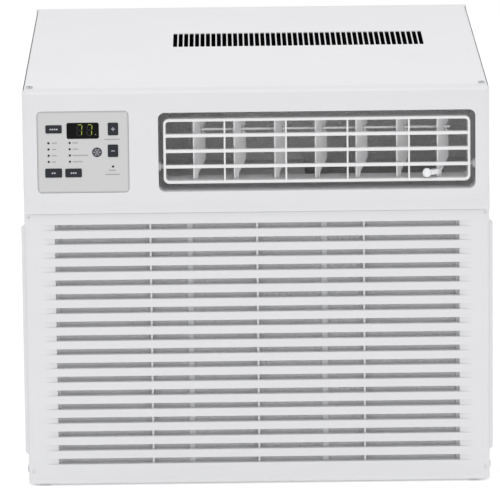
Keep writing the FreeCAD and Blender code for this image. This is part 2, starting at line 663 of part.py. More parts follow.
def inlet_grille():
    """Tilting inlet grille: skirted plate with a round hinge bead, slots with scooped ends, and grips."""
    body = body_named("inlet_grille")
    half = "fascia_half"
    add(body, "front", "face_y", "skirt_back", rectangle(opposite(half), half, "bead_z", "grille_top"))
    add(body, "side", opposite(half), half, disc("bead_y", "bead_z", "bead_radius"))
    cut(body, "front", "inner_y", "skirt_back",
        rectangle(f"corner_wall - {half}", f"{half} - corner_wall", "bead_z + bead_radius",
                  "grille_top - fascia_wall"))
    for sign in ("", "-"):
        cut(body, "top", "0", "grille_top", corner(f"{sign}({half})", "face_y", "corner_round", sign, "-"))
        cut(body, "front", "face_y", "skirt_back",
            corner(f"{sign}({half})", "bead_z - bead_radius", "grille_corner", sign, "-"))
    add(body, "front", "inner_y", "slat_back",
        rectangle("-slot_half - fascia_wall", "slot_half + fascia_wall", "bead_z + bead_radius",
                  "grille_top - fascia_wall"))
    low, high = "slot_foot", "slot_foot + slot_height"
    slot = cut(body, "side", "-slot_half", "slot_half",
               polygon(("front", f"{low} - slot_lip"), ("face_y", f"{low} - slot_lip"),
                       ("face_y + slot_lip", low), ("slat_back", low), ("slat_back", high),
                       ("face_y + slot_lip/2", high), ("face_y", f"{high} + slot_lip/2"),
                       ("front", f"{high} + slot_lip/2")))
    ramps = cut(body, "top", low, high,
                *[polygon((f"{sign}(slot_half - 1)", "front"), (f"{sign}(slot_half + ramp_run)", "front"),
                          (f"{sign}(slot_half + ramp_run)", "face_y"),
                          (f"{sign}(slot_half - 1)", "face_y + ramp_depth")) for sign in ("", "-")])
    repeat(body, [slot, ramps], "V_Axis", "slot_count", "slot_pitch")
    for x in ("-grille_rib_spread", "0", "grille_rib_spread"):
        add(body, "front", "(face_y + slat_back)/2", "slat_back",
            rectangle(f"{x} - grille_rib/2", f"{x} + grille_rib/2", "bead_z + bead_radius",
                      "grille_top - fascia_wall"))
    grip_low, grip_high = "grip_foot", "grille_top - grip_head"
    for sign in ("", "-"):
        inner, outer = f"{sign}({half} - grip_bite)", f"{sign}({half} + grip_out)"
        add(body, "front", "face_y + grip_setback", "face_y + grip_setback + grip_depth",
            polygon((inner, grip_low), (outer, f"{grip_low} + grip_out"), (outer, f"{grip_high} - grip_out"),
                    (inner, grip_high)))
        hinge_x = f"{sign}(case_width/2 - hinge_margin)"
        cut(body, "top", "0", "bead_z + bead_radius + fascia_wall",
            rectangle(f"{hinge_x} - hinge_slot/2", f"{hinge_x} + hinge_slot/2", "face_y + hinge_skin",
                      "skirt_back + 1"))
        add(body, "side", f"{hinge_x} - hinge_slot/2", f"{hinge_x} + hinge_slot/2",
            disc("bead_y", "bead_z", "hinge_pin"))
        notch_x = f"{sign}({half} - notch_inset)"
        cut(body, "front", "front", "inner_y - fascia_wall/3",
            rectangle(f"{notch_x} - notch_width/2", f"{notch_x} + notch_width/2",
                      "grille_top - notch_height", "grille_top"),
            rectangle(f"{notch_x} - notch_width/2", f"{notch_x} + notch_width/2",
                      "bead_z + bead_radius", "bead_z + bead_radius + notch_height"))
    face = value("face_y")
    soften(body, "fascia_wall/2", lambda box: near(box.YMin, face) and near(box.YMax, face)
           and near(box.ZMin, value("grille_top")))


def overlay_panel():
    """Grey control overlay with its holes."""
    body = body_named("overlay_panel")
    add(body, "front", "floor_y - overlay_thick", "floor_y",
        rounded("overlay_left", "overlay_right", "overlay_low", "overlay_top", "overlay_round"))
    cut(body, "front", "floor_y - overlay_thick", "floor_y", *panel_holes())


def control_button(name):
    """A key cap in the overlay, with a flange behind the fascia wall and a stem to its switch."""
    body = body_named(name)
    overlay_face = "floor_y - overlay_thick"
    x, z = button_middle(name)
    add(body, "front", f"{overlay_face} - button_rise", "flange_y", button_outline(name, "0"))
    add(body, "front", "flange_y", "flange_y + button_flange_thick", button_outline(name, "button_flange"))
    add(body, "front", "flange_y + button_flange_thick", "board_y - board_thick - button_travel - slip",
        rectangle(f"{x} - button_stem/2", f"{x} + button_stem/2", f"{z} - button_stem/2",
                  f"{z} + button_stem/2"))
    top_face = value(f"{overlay_face} - button_rise")
    soften(body, "button_rise/2", lambda box: near(box.YMin, top_face) and near(box.YMax, top_face))


def display_lens():
    body = body_named("display_lens")
    face = "floor_y - overlay_thick - lens_rise"
    add(body, "front", face, f"{face} + lens_thick", lens_outline("0"))


def display_module():
    """Two-digit display block behind the lens, standing on the control board."""
    left, top = "overlay_left + lens_inset", "overlay_top - lens_drop"
    keep("display_module", block("display_module", f"{left} + 1", f"{left} + lens_width - 1",
                                 "floor_y - overlay_thick - lens_rise + lens_thick + slip", "board_y",
                                 f"{top} - lens_height + 1", f"{top} - 1"))


def indicator_lights():
    """Light pipes of the nine indicators, from the overlay's face to the board."""
    pipes = []
    for number, (column, drop) in enumerate(LIGHTS):
        pipes.append(rod(f"light_{number}", "y", f"overlay_left + {column}", "floor_y - overlay_thick",
                         f"overlay_top - ({drop})", "board_y - (floor_y - overlay_thick)", "light_radius"))
    keep("indicator_lights", grouped("indicator_lights", *pipes))


def control_board():
    """Circuit board behind the overlay, with one tact switch under each button."""
    pieces = [block("board_plate", "overlay_left + 2", "overlay_right - 2", "board_y",
                    "board_y + board_thick",
                    "overlay_low + 2", "overlay_top - 2")]
    for name in BUTTONS:
        x, z = button_middle(name)
        pieces.append(block(f"switch_{name}", f"{x} - button_stem/2", f"{x} + button_stem/2",
                            "board_y - board_thick", "board_y",
                            f"{z} - button_stem/2", f"{z} + button_stem/2"))
    keep("control_board", joined("control_board", *pieces))


# ---------------------------------------------------------------- louvers

def louver_frame():
    """Tilting louver grid: deep rim with vane pin holes, front bars and posts, and two side pins."""
    body = body_named("louver_frame")
    add(body, "front", "louver_front", "louver_back",
        rounded("louver_left", "louver_right", "louver_low", "louver_top", "louver_round"))
    cut(body, "front", "louver_front", "louver_back",
        rounded("louver_left + louver_wall", "louver_right - louver_wall", "louver_low + louver_rail",
                "louver_top - louver_rail", "louver_round - louver_wall"))
    rail_back = "pivot_y + 3*vane_pin"
    inner_left, inner_right = "louver_left + louver_round", "louver_right - louver_round"
    cut(body, "front", rail_back, "louver_back",
        rectangle(inner_left, inner_right, "louver_top - louver_rail", "louver_top"))
    cut(body, "front", "louver_front + louver_bar_depth", rail_back,
        rectangle(inner_left, inner_right, "louver_top - louver_step", "louver_top"))
    step = "(louver_top - louver_low - louver_rail)/(louver_bars + 1)"
    bar = add(body, "front", "louver_front", "louver_front + louver_bar_depth",
              rectangle("louver_left + louver_wall/2", "louver_right - louver_wall/2",
                        f"louver_low + louver_rail/2 + {step} - louver_bar/2",
                        f"louver_low + louver_rail/2 + {step} + louver_bar/2"))
    repeat(body, [bar], "V_Axis", "louver_bars", step)
    post_step = "(louver_right - louver_left - 2*louver_post_margin)/(louver_posts - 1)"
    post = add(body, "front", "louver_front + louver_post/2", "louver_front + louver_bar_depth",
               rectangle("louver_left + louver_post_margin - louver_post/2",
                         "louver_left + louver_post_margin + louver_post/2",
                         "louver_low + louver_rail/2", "louver_top - louver_rail/2"))
    repeat(body, [post], "H_Axis", "louver_posts", post_step)
    hole = cut(body, "top", "louver_low", "louver_top",
               disc("vane_first", "pivot_y", "vane_pin + pin_play"))
    repeat(body, [hole], "H_Axis", "vane_count", "vane_step")
    reach = "louver_side_gap + fascia_wall"
    add(body, "side", f"louver_left - {reach}", "louver_left", disc("pivot_y", "pivot_z", "louver_pin"))
    add(body, "side", "louver_right", f"louver_right + {reach}", disc("pivot_y", "pivot_z", "louver_pin"))
    face = value("louver_front")
    soften(body, "louver_wall/4", lambda box: near(box.YMin, face) and near(box.YMax, face))


def vane(number):
    """One vertical vane on its own pins; the pivot is the body's origin, with the tail along +Y."""
    body = body_named(f"vane_{number}")
    add(body, "side", "-vane_thick/2", "vane_thick/2",
        polygon(("-vane_nose", "vane_low"), ("vane_tail - vane_cut", "vane_low"),
                ("vane_tail", "vane_low + vane_cut_rise"), ("vane_tail", "vane_high"),
                ("-vane_nose", "vane_high")))
    nose = -value("vane_nose")
    soften(body, "vane_thick/3",
           lambda box: near(box.YMin, nose) and near(box.YMax, nose) and box.ZLength > 1)
    cut(body, "side", "-vane_thick", "vane_thick",
        rectangle("link_reach - link_notch_reach", "vane_tail + 1", "link_z - link_notch/2",
                  "link_z + link_notch/2"))
    add(body, "top", "link_z - link_notch/2 - link_pin", "link_z + link_notch/2 + link_pin",
        disc("0", "link_reach", "link_pin"))
    pins = "vane_end_gap + vane_pin_seat"
    add(body, "top", f"vane_low - ({pins})", "vane_low + 5*vane_pin", disc("0", "0", "vane_pin"))
    add(body, "top", "vane_high - 2*vane_pin", f"vane_high + {pins}", disc("0", "0", "vane_pin"))
    if number == round(value("vane_count")):
        knob_z = "outlet_low + knob_foot"
        add(body, "top", f"{knob_z} - lever_thick/2", f"{knob_z} + lever_thick/2",
            polygon(("-lever_width/2", "-vane_nose + lever_width"), ("-lever_width/2", "-vane_nose"),
                    ("-knob_side - lever_width/2", "-knob_ahead"),
                    ("-knob_side + lever_width/2", "-knob_ahead"),
                    ("lever_width/2", "-vane_nose"), ("lever_width/2", "-vane_nose + lever_width")))
    body.Placement = FreeCAD.Placement(FreeCAD.Vector(), FreeCAD.Rotation(FreeCAD.Vector(0, 0, 1), 1))
    body.setExpression("Placement.Rotation.Angle", bound("-vane_rest"))
    body.setExpression("Placement.Base.x", bound(f"vane_first + {number - 1}*vane_step"))
    body.setExpression("Placement.Base.y", bound("pivot_y"))


def swung(ahead, side):
    """The row X and Y of a point given from the last vane's pivot, at the vanes' rest angle."""
    last = "(vane_first + (vane_count - 1)*vane_step)"
    x = f"{last} + ({side})*cos(vane_rest) - ({ahead})*sin(vane_rest)"
    y = f"pivot_y - ({ahead})*cos(vane_rest) - ({side})*sin(vane_rest)"
    return x, y


def vane_link():
    """Thin bar that joins the tails of all the vanes, with one hole for each vane's pin."""
    body = body_named("vane_link")
    x, y = swung("-link_reach", "0")
    first = f"({x}) - (vane_count - 1)*vane_step"
    add(body, "top", "link_z - link_thick/2", "link_z + link_thick/2",
        rounded(f"{first} - link_width", f"{x} + link_width", f"{y} - link_width/2", f"{y} + link_width/2",
                "link_width/3"))
    hole = cut(body, "top", "link_z - link_thick/2", "link_z + link_thick/2",
               disc(first, y, "link_pin + pin_play"))
    repeat(body, [hole], "H_Axis", "vane_count", "vane_step")


def lever_knob():
    """Round knob pressed on the end of the lever."""
    x, y = swung("knob_ahead", "-knob_side")
    z = "outlet_low + knob_foot"
    ball = document.addObject("Part::Sphere", "knob_ball")
    ball.setExpression("Radius", bound("knob_radius"))
    ball.Placement.Rotation = FreeCAD.Rotation(FreeCAD.Vector(0, 0, 1), 180)
    for axis, place in (("x", x), ("y", y), ("z", z)):
        ball.setExpression(f"Placement.Base.{axis}", bound(place))
    document.recompute()
    keep("lever_knob", without("lever_knob", ball, finished[f"vane_{round(value('vane_count'))}"]))


# ---------------------------------------------------------------- filter

def filter_frame():
    """Plastic frame with two cross bars, clipped behind the grille's slats."""
    body = body_named("filter_frame")
    half = "slot_half + fascia_wall"
    low, high = "bead_z + bead_radius + 1", "grille_top - fascia_wall - 1"
    add(body, "front", "slat_back", "slat_back + filter_thick", rectangle(opposite(half), half, low, high))
    third = f"(({half})*2 - 4*filter_rim)/3"
    for index in range(3):
        left = f"filter_rim - ({half}) + {index}*({third} + filter_rim)"
        cut(body, "front", "slat_back", "slat_back + filter_thick",
            rectangle(left, f"{left} + {third}", f"{low} + filter_rim", f"{high} - filter_rim"))


def filter_mesh():
    """Woven filter sheet held in the frame's three windows."""
    half = "(slot_half + fascia_wall)"
    low, high = "bead_z + bead_radius + 1 + filter_rim", "grille_top - fascia_wall - 1 - filter_rim"
    third = f"({half}*2 - 4*filter_rim)/3"
    panes = []
    for index in range(3):
        left = f"filter_rim - {half} + {index}*({third} + filter_rim)"
        panes.append(block(f"filter_pane_{index}", left, f"{left} + {third}", "slat_back + filter_thick/2",
                           "slat_back + filter_thick/2 + mesh_thick", low, high))
    keep("filter_mesh", grouped("filter_mesh", *panes))


# ---------------------------------------------------------------- chassis

def base_pan():
    """Drain pan with turned-up sides, which carries everything that slides out."""
    body = body_named("base_pan")
    near_y, far_y = "fascia_back + pan_front_gap", "back - guard_depth - pan_front_gap"
    add(body, "top", "pan_low", "pan_low + pan_lip",
        rounded("-pan_half", "pan_half", near_y, far_y, "case_bend"))
    cut(body, "top", "pan_top", "pan_low + pan_lip",
        rounded("pan_wall - pan_half", "pan_half - pan_wall", f"{near_y} + pan_wall", f"{far_y} - pan_wall",
                "case_bend - pan_wall"))
    cut(body, "top", "pan_low", "pan_top",
        disc("coil_half - 4*plug_radius", "collar_front - 3*plug_radius", "plug_radius - slip"))


def drain_plug():
    """Rubber plug in the drain hole of the pan."""
    place = ("coil_half - 4*plug_radius", "collar_front - 3*plug_radius")
    stem = rod("plug_stem", "z", *place, "pan_low", "pan_wall", "plug_radius - slip")
    head = rod("plug_head", "z", *place, "pan_top", "plug_height", "plug_radius + grommet_lip")
    keep("drain_plug", joined("drain_plug", stem, head))


def bulkhead():
    """Steel wall between the room side and the outdoor side."""
    body = body_named("bulkhead")
    add(body, "front", "scroll_back", "bulkhead_back",
        rectangle("pan_wall + slip - pan_half", "pan_half - pan_wall - slip", "pan_top",
                  "case_height - bulkhead_drop"))
    cut(body, "front", "scroll_back", "bulkhead_back", disc("blower_offset", "blower_z", "shaft_hole"),
        rectangle("coil_margin - pan_half", "3*coil_margin - pan_half", "4*coil_margin", "7*coil_margin"))


def tube_rows(low, high):
    """Heights of the tube rows of a coil, centred between its low and high ends."""
    pitch = value("tube_pitch")
    room = value(high) - value(low)
    count = int(room // pitch)
    first = value(low) + (room - (count - 1) * pitch) / 2
    return [first + index * pitch for index in range(count)]


def coil_columns(near_y):
    """Depths of a coil's two tube columns."""
    middle = value(near_y) + value("coil_depth") / 2
    return [middle - value("tube_row") / 2, middle + value("tube_row") / 2]


def drilled_plate(x, thick, near_y, low, high):
    """One upright plate of a coil, with a hole for each tube."""
    plate = Part.makeBox(thick, value("coil_depth"), value(high) - value(low),
                         FreeCAD.Vector(x, value(near_y), value(low)))
    holes = [Part.makeCylinder(value("tube_radius"), 3 * thick, FreeCAD.Vector(x - thick, y, z),
                               FreeCAD.Vector(1, 0, 0))
             for y in coil_columns(near_y) for z in tube_rows(low, high)]
    return plate.cut(Part.makeCompound(holes))


def coil(name, near_y, low, high):
    """Fins, end plates and hairpin tubes of one coil, as three sub-parts."""
    half, plate_thick, fin_thick = value("coil_half"), value("coil_plate"), value("fin_thick")
    pitch, radius = value("fin_pitch"), value("tube_radius")
    count = int(2 * (half - pitch) // pitch)
    fin = drilled_plate(-fin_thick / 2, fin_thick, near_y, low, high)
    places = [(index - (count - 1) / 2) * pitch for index in range(count)]
    shaped(f"{name}_fins", Part.makeCompound([fin.translated(FreeCAD.Vector(x, 0, 0)) for x in places]))
    ends = [drilled_plate(x, plate_thick, near_y, low, high) for x in (-half, half - plate_thick)]
    shaped(f"{name}_end_plates", Part.makeCompound(ends))
    rows, columns = tube_rows(low, high), coil_columns(near_y)
    length = 2 * half + 2 * radius
    hairpins = []
    for z in rows:
        straights = [Part.makeCylinder(radius, length, FreeCAD.Vector(-half - radius, y, z),
                                       FreeCAD.Vector(1, 0, 0)) for y in columns]
        ring = Part.makeTorus((columns[1] - columns[0]) / 2, radius,
                              FreeCAD.Vector(half + radius, sum(columns) / 2, z), FreeCAD.Vector(0, 0, 1))
        outer = Part.makeBox(40, 60, 2 * radius,
                             FreeCAD.Vector(half + radius, sum(columns) / 2 - 30, z - radius))
        hairpins.append(straights[0].fuse([straights[1], ring.common(outer)]).removeSplitter())
    shaped(f"{name}_tubes", Part.makeCompound(hairpins))


def blower_scroll():
    """Scroll housing: round cavity that opens upward into the duct, with an inlet ring at the front."""
    body = body_named("blower_scroll")
    x, z, radius = "blower_offset", "blower_z", "scroll_radius"
    left, right = f"{x} - {radius} - scroll_wall", f"{x} + {radius} + scroll_wall"
    add(body, "front", "scroll_front", "scroll_back",
        rounded(left, right, f"{z} - {radius} - scroll_wall", "duct_low", "scroll_margin*4"))
    cut(body, "front", "scroll_front + scroll_wall", "scroll_back - scroll_wall", disc(x, z, radius))
    cut(body, "top", z, "duct_low", rectangle(x, f"{x} + {radius}", "scroll_front + scroll_wall",
                                              "scroll_back - scroll_wall"))
    cut(body, "front", "scroll_front", "scroll_front + scroll_wall",
        disc(x, z, "wheel_radius - scroll_inlet_lap"))
    cut(body, "front", "scroll_back - scroll_wall", "scroll_back", disc(x, z, "shaft_hole"))


def discharge_duct():
    """Foam duct from the scroll's mouth, over the evaporator, to the outlet collar of the fascia."""
    body = body_named("discharge_duct")
    add(body, "front", "fascia_back", "scroll_back",
        rectangle("outlet_left - duct_wall", "outlet_right + duct_wall", "duct_low",
                  "outlet_top + duct_wall"))
    cut(body, "front", "fascia_back", "scroll_back - duct_wall",
        rectangle("outlet_left", "outlet_right", "outlet_low", "outlet_top"))
    cut(body, "top", "duct_low", "outlet_low",
        rectangle("blower_offset", "blower_offset + scroll_radius", "scroll_front + scroll_wall",
                  "scroll_back - duct_wall"))


def condenser_shroud():
    """Box behind the fan that seals against the condenser, with the fan's collar."""
    body = body_named("condenser_shroud")
    half, low, high = "coil_half", "coil_low", "condenser_high"
    add(body, "front", "shroud_front", "condenser_front", rectangle(opposite(half), half, low, high))
    cut(body, "front", "shroud_front + shroud_wall", "condenser_front",
        rectangle(f"shroud_wall - {half}", f"{half} - shroud_wall", f"{low} + shroud_wall",
                  f"{high} - shroud_wall"))
    add(body, "front", "condenser_front - shroud_wall", "condenser_front",
        rectangle(opposite(half), half, f"{high} - shroud_wall", "case_height - sheet_wall - seal_gap"))
    ring = "fan_radius + fan_ring + fan_gap/2"
    add(body, "front", "collar_front", "shroud_front + shroud_wall",
        disc("blower_offset", "blower_z", ring))
    cut(body, "front", "collar_front", "shroud_front + shroud_wall",
        disc("blower_offset", "blower_z", f"{ring} - collar_wall"))


# ---------------------------------------------------------------- rotor and motor

def motor_shaft():
    start, end = "(scroll_front + 2*scroll_wall)", "(condenser_front - 3*assembly_gap)"
    keep("motor_shaft", rod("motor_shaft", "y", "blower_offset", start, "blower_z", f"{end} - {start}",
                            "shaft_radius"))


def fan_motor():
    """Double-shaft motor with domed end bells and a bored sleeve for the shaft."""
    body = body_named("fan_motor")
    x, z = "blower_offset", "blower_z"
    add(body, "front", "motor_front", "motor_back", disc(x, z, "motor_radius"))
    ends = (value("motor_front"), value("motor_back"))
    soften(body, "motor_bell",
           lambda box: near(box.YMin, box.YMax) and (near(box.YMin, ends[0]) or near(box.YMin, ends[1])))
    add(body, "front", "motor_front - motor_bell", "motor_back + motor_bell", disc(x, z, "3*shaft_radius"))
    cut(body, "front", "motor_front - motor_bell", "motor_back + motor_bell",
        disc(x, z, "shaft_radius + pin_play"))


def motor_bracket():
    """Upright bracket from the base pan, with a cradle ring round the motor."""
    body = body_named("motor_bracket")
    x, z = "blower_offset", "blower_z"
    middle = "(motor_front + motor_back)/2"
    near_y, far_y = f"{middle} - bracket_width/2", f"{middle} + bracket_width/2"
    add(body, "front", near_y, far_y, disc(x, z, "motor_radius + bracket_wall"))
    add(body, "front", near_y, far_y,
        rectangle(f"{x} - motor_radius/2", f"{x} + motor_radius/2", "pan_top", z))
    cut(body, "front", near_y, far_y, disc(x, z, "motor_radius"))
    cut(body, "front", near_y, far_y,
        rectangle(f"{x} - motor_radius/2 + bracket_wall", f"{x} + motor_radius/2 - bracket_wall",
                  "pan_top + bracket_wall", f"{z} - motor_radius - bracket_wall"))


def blower_wheel():
    """Centrifugal wheel: back plate, hub, forward blades and a front ring."""
    body = body_named("blower_wheel")
    x, z = "blower_offset", "blower_z"
    near_y = "scroll_front + scroll_wall + assembly_gap"
    far_y = f"{near_y} + wheel_depth"
    add(body, "front", f"{far_y} - wheel_plate", far_y, disc("0", "0", "wheel_radius"))
    add(body, "front", f"{far_y} - 4*shaft_radius", far_y, disc("0", "0", "2.4*shaft_radius"))
    add(body, "front", near_y, f"{near_y} + wheel_plate", disc("0", "0", "wheel_radius"),
        disc("0", "0", "wheel_radius - wheel_ring"))
    blade = add(body, "front", f"{near_y} + wheel_plate/2", f"{far_y} - wheel_plate/2",
                polygon(("wheel_radius - wheel_ring + 1", "-wheel_blade"),
                        ("wheel_radius - 2", "wheel_ring/3"),
                        ("wheel_radius - 2", "wheel_ring/3 + wheel_blade"),
                        ("wheel_radius - wheel_ring + 1", "0")))
    spin(body, [blade], "wheel_blades")
    cut(body, "front", f"{far_y} - 4*shaft_radius", far_y, disc("0", "0", "shaft_radius"))
    body.setExpression("Placement.Base.x", bound(x))
    body.setExpression("Placement.Base.z", bound(z))


def fan_blade(hub, tip, near_y):
    """One twisted blade, lofted between its root and tip sections."""
    sections = []
    for radius, chord, twist in ((hub - 3, 1.5 * hub, "root_twist"), (tip, 2.6 * hub, "tip_twist")):
        depth = value("fan_depth")
        rise = min(depth, chord * math.sin(math.radians(value(twist))))
        run = chord * math.cos(math.radians(value(twist)))
        thick = value("blade_thick")
        corners = [(-run / 2, depth / 2 - rise / 2), (run / 2, depth / 2 + rise / 2 - thick),
                   (run / 2, depth / 2 + rise / 2), (-run / 2, depth / 2 - rise / 2 + thick)]
        ring = [FreeCAD.Vector(side, near_y + back, radius) for side, back in corners]
        sections.append(Part.makePolygon(ring + ring[:1]))
    return Part.makeLoft(sections, True, True)


def condenser_fan():
    """Axial fan with twisted blades and the ring that throws pan water on the condenser."""
    hub, tip, depth = value("fan_hub"), value("fan_radius") - value("fan_gap"), value("fan_depth")
    near_y = value("collar_front") + value("assembly_gap")
    along = FreeCAD.Vector(0, 1, 0)
    start = FreeCAD.Vector(0, near_y, 0)
    solid = Part.makeCylinder(hub, depth, start, along)
    blade = fan_blade(hub, tip + value("fan_ring") / 2, near_y)
    count = round(value("fan_blades"))
    for index in range(count):
        solid = solid.fuse(blade.rotated(FreeCAD.Vector(), along, index * 360 / count))
    ring = Part.makeCylinder(tip + value("fan_ring"), depth / 2, start + along * depth / 2, along)
    ring = ring.cut(Part.makeCylinder(tip, depth / 2, start + along * depth / 2, along))
    solid = solid.fuse(ring).cut(Part.makeCylinder(value("shaft_radius"), depth, start, along))
    fan = shaped("condenser_fan", solid)
    fan.setExpression("Placement.Base.x", bound("blower_offset"))
    fan.setExpression("Placement.Base.z", bound("blower_z"))


# ---------------------------------------------------------------- refrigerant circuit

def grommet_places():
    """The three bolt places round the compressor's foot plate, from its axis."""
    ring = value("grommet_ring")
    turns = [math.radians(angle) for angle in (90, 210, 330)]
    return [(ring * math.cos(turn), ring * math.sin(turn)) for turn in turns]


def compressor():
    """Welded steel shell with domed ends on a three-legged foot plate."""
    body = body_named("compressor")
    x, y = "-compressor_offset", "compressor_y"
    add(body, "top", "compressor_low", "compressor_high", disc(x, y, "compressor_radius"))
    ends = (value("compressor_low"), value("compressor_high"))
    soften(body, "compressor_round",
           lambda box: near(box.ZMin, box.ZMax) and (near(box.ZMin, ends[0]) or near(box.ZMin, ends[1])))
    middle = "(compressor_low + compressor_high)/2"
    add(body, "top", f"{middle} - foot_wall", f"{middle} + foot_wall",
        disc(x, y, "compressor_radius + foot_wall"))
    for dx, dy in grommet_places():
        add(body, "top", "compressor_low - foot_wall", "compressor_low",
            disc(f"{x} + {dx}", f"{y} + {dy}", "grommet_radius"))
    add(body, "top", "compressor_low - foot_wall", "compressor_low + foot_wall", disc(x, y, "grommet_ring"))
    cut(body, "top", "compressor_low - foot_wall", "compressor_low + foot_wall",
        *[disc(f"{x} + {dx}", f"{y} + {dy}", "stud_radius + slip") for dx, dy in grommet_places()])
    add(body, "top", "compressor_high - foot_wall", "compressor_high + 4*foot_wall",
        disc(x, f"{y} - compressor_radius/3", "accumulator_radius"))


def compressor_mounts():
    """Rubber grommets on studs between the base pan and the compressor's foot."""
    pieces = []
    for number, (dx, dy) in enumerate(grommet_places()):
        place = (f"{dx} - compressor_offset", f"compressor_y + {dy}")
        rubber = rod(f"grommet_{number}", "z", *place, "pan_top", "compressor_lift - foot_wall",
                     "grommet_radius")
        stud = rod(f"stud_{number}", "z", *place, "pan_top", "compressor_lift + 4*foot_wall", "stud_radius")
        pieces.append(joined(f"mount_{number}", rubber, stud))
    keep("compressor_mounts", grouped("compressor_mounts", *pieces))


def accumulator():
    """Suction accumulator beside the compressor."""
    body = body_named("accumulator")
    x = "compressor_radius + accumulator_radius + foot_wall + accumulator_gap - compressor_offset"
    add(body, "top", "compressor_low + accumulator_lift",
        "compressor_low + accumulator_lift + accumulator_height",
        disc(x, "compressor_y", "accumulator_radius"))
    soften(body, "accumulator_radius/2", lambda box: near(box.ZMin, box.ZMax) and box.XLength > 1)


def bent_tube(points, bend, radius):
    """A tube along straight runs joined by tangent arcs of one bend radius."""
    edges = []
    start = points[0]
    for before, corner, after in zip(points, points[1:], points[2:]):
        into, out = (corner - before).normalize(), (after - corner).normalize()
        turn = into.getAngle(out)
        reach = bend * math.tan(turn / 2)
        first, last = corner - into * reach, corner + out * reach
        side = (out - into * into.dot(out)).normalize()
        centre = first + side * bend
        middle = centre + (corner - centre).normalize() * bend
        edges.append(Part.LineSegment(start, first).toShape())
        edges.append(Part.Arc(first, middle, last).toShape())
        start = last
    edges.append(Part.LineSegment(start, points[-1]).toShape())
    path = Part.Wire(edges)
    direction = (points[1] - points[0]).normalize()
    ring = Part.Wire(Part.Circle(points[0], direction, radius).toShape())
    tube = path.makePipeShell([ring], True, True)
    expected = math.pi * radius ** 2 * path.Length
    if abs(tube.Volume - expected) > 0.02 * expected:
        raise RuntimeError("a bent tube came out with the wrong volume")
    return tube


def refrigerant_lines():
    """Suction line, hot gas line and capillary tube, with the filter drier between them."""
    lift, gap = value("accumulator_lift"), value("assembly_gap")
    x0, y0 = -value("compressor_offset"), value("compressor_y")
    low, high = value("compressor_low"), value("compressor_high")
    left = -value("coil_half") - value("tube_radius")
    evaporator_y = value("evaporator_back") + gap
    condenser_y = coil_columns("condenser_front")[0]
    accumulator_x = x0 + value("compressor_radius + accumulator_radius + foot_wall + accumulator_gap")
    accumulator_top = low + lift + value("accumulator_height")
    lane = left + 2 * value("suction_radius") + gap
    pass_z = value("5.5*coil_margin")
    dome = high + 4 * value("foot_wall")
    suction = [FreeCAD.Vector(lane, evaporator_y, pass_z + 4 * gap),
               FreeCAD.Vector(lane, evaporator_y, pass_z),
               FreeCAD.Vector(lane, value("bulkhead_back") + 3 * gap, pass_z),
               FreeCAD.Vector(lane, value("bulkhead_back") + 3 * gap, dome + 4.5 * gap),
               FreeCAD.Vector(accumulator_x, y0, dome + 4.5 * gap),
               FreeCAD.Vector(accumulator_x, y0, accumulator_top)]
    shaped("suction_line", bent_tube(suction, 2 * gap, value("suction_radius")))
    hot_x = x0 + value("compressor_radius") / 2
    hot = [FreeCAD.Vector(hot_x, y0 + gap, high), FreeCAD.Vector(hot_x, y0 + gap, dome + 7 * gap),
           FreeCAD.Vector(left + 2 * gap, y0 + 7 * gap, dome + 7 * gap),
           FreeCAD.Vector(left + 2 * gap, value("collar_front") - gap, dome + 7 * gap)]
    shaped("hot_gas_line", bent_tube(hot, 1.5 * gap, value("hot_gas_radius")))
    drier_x, drier_y = left + 3 * gap, value("compressor_y + compressor_radius") + 3 * gap
    drier_z = low + 2 * gap
    drier = Part.makeCylinder(value("drier_radius"), value("drier_length"),
                              FreeCAD.Vector(drier_x, drier_y, drier_z))
    shaped("filter_drier", drier)
    lane_x, lane_z = lane + 2.5 * value("suction_radius"), pass_z + 1.5 * gap
    capillary = [FreeCAD.Vector(drier_x, drier_y, drier_z + value("drier_length")),
                 FreeCAD.Vector(drier_x, drier_y, dome + 1.5 * gap), FreeCAD.Vector(drier_x, y0,
                                                                                    dome + 1.5 * gap),
                 FreeCAD.Vector(lane_x, value("bulkhead_back") + 6 * gap, dome + 1.5 * gap),
                 FreeCAD.Vector(lane_x, value("bulkhead_back") + 6 * gap, lane_z),
                 FreeCAD.Vector(lane_x, evaporator_y, lane_z)]
    shaped("capillary_tube", bent_tube(capillary, gap, value("capillary_radius")))


# ---------------------------------------------------------------- electrical pieces

def control_box():
    """Sheet box behind the control panel, open to the front."""
    body = body_named("control_box")
    left, right = "overlay_left", "overlay_right"
    add(body, "front", "box_front", "box_front + box_depth", rectangle(left, right, "box_low", "overlay_top"))
    cut(body, "front", "box_front", "box_front + box_depth - box_wall",
        rectangle(f"{left} + box_wall", f"{right} - box_wall", "box_low + box_wall",
                  "overlay_top - box_wall"))


def run_capacitor():
    body = body_named("run_capacitor")
    add(body, "front", "box_front + box_depth - box_wall - capacitor_length",
        "box_front + box_depth - box_wall",
        disc("(overlay_left + overlay_right)/2", "box_low + box_wall + capacitor_radius", "capacitor_radius"))
    ends = value("box_front + box_depth - box_wall - capacitor_length")
    soften(body, "box_wall", lambda box: near(box.YMin, box.YMax) and near(box.YMin, ends))


def thermistor():
    """Room air sensor clipped in front of the evaporator."""
    body = body_named("thermistor")
    x, y = "overlay_right", "evaporator_front - thermistor_radius"
    add(body, "top", "blower_z", "blower_z + thermistor_length", disc(x, y, "thermistor_radius"))
    soften(body, "thermistor_radius/2", lambda box: near(box.ZMin, box.ZMax) and box.XLength > 1)


# ---------------------------------------------------------------- build, check and export

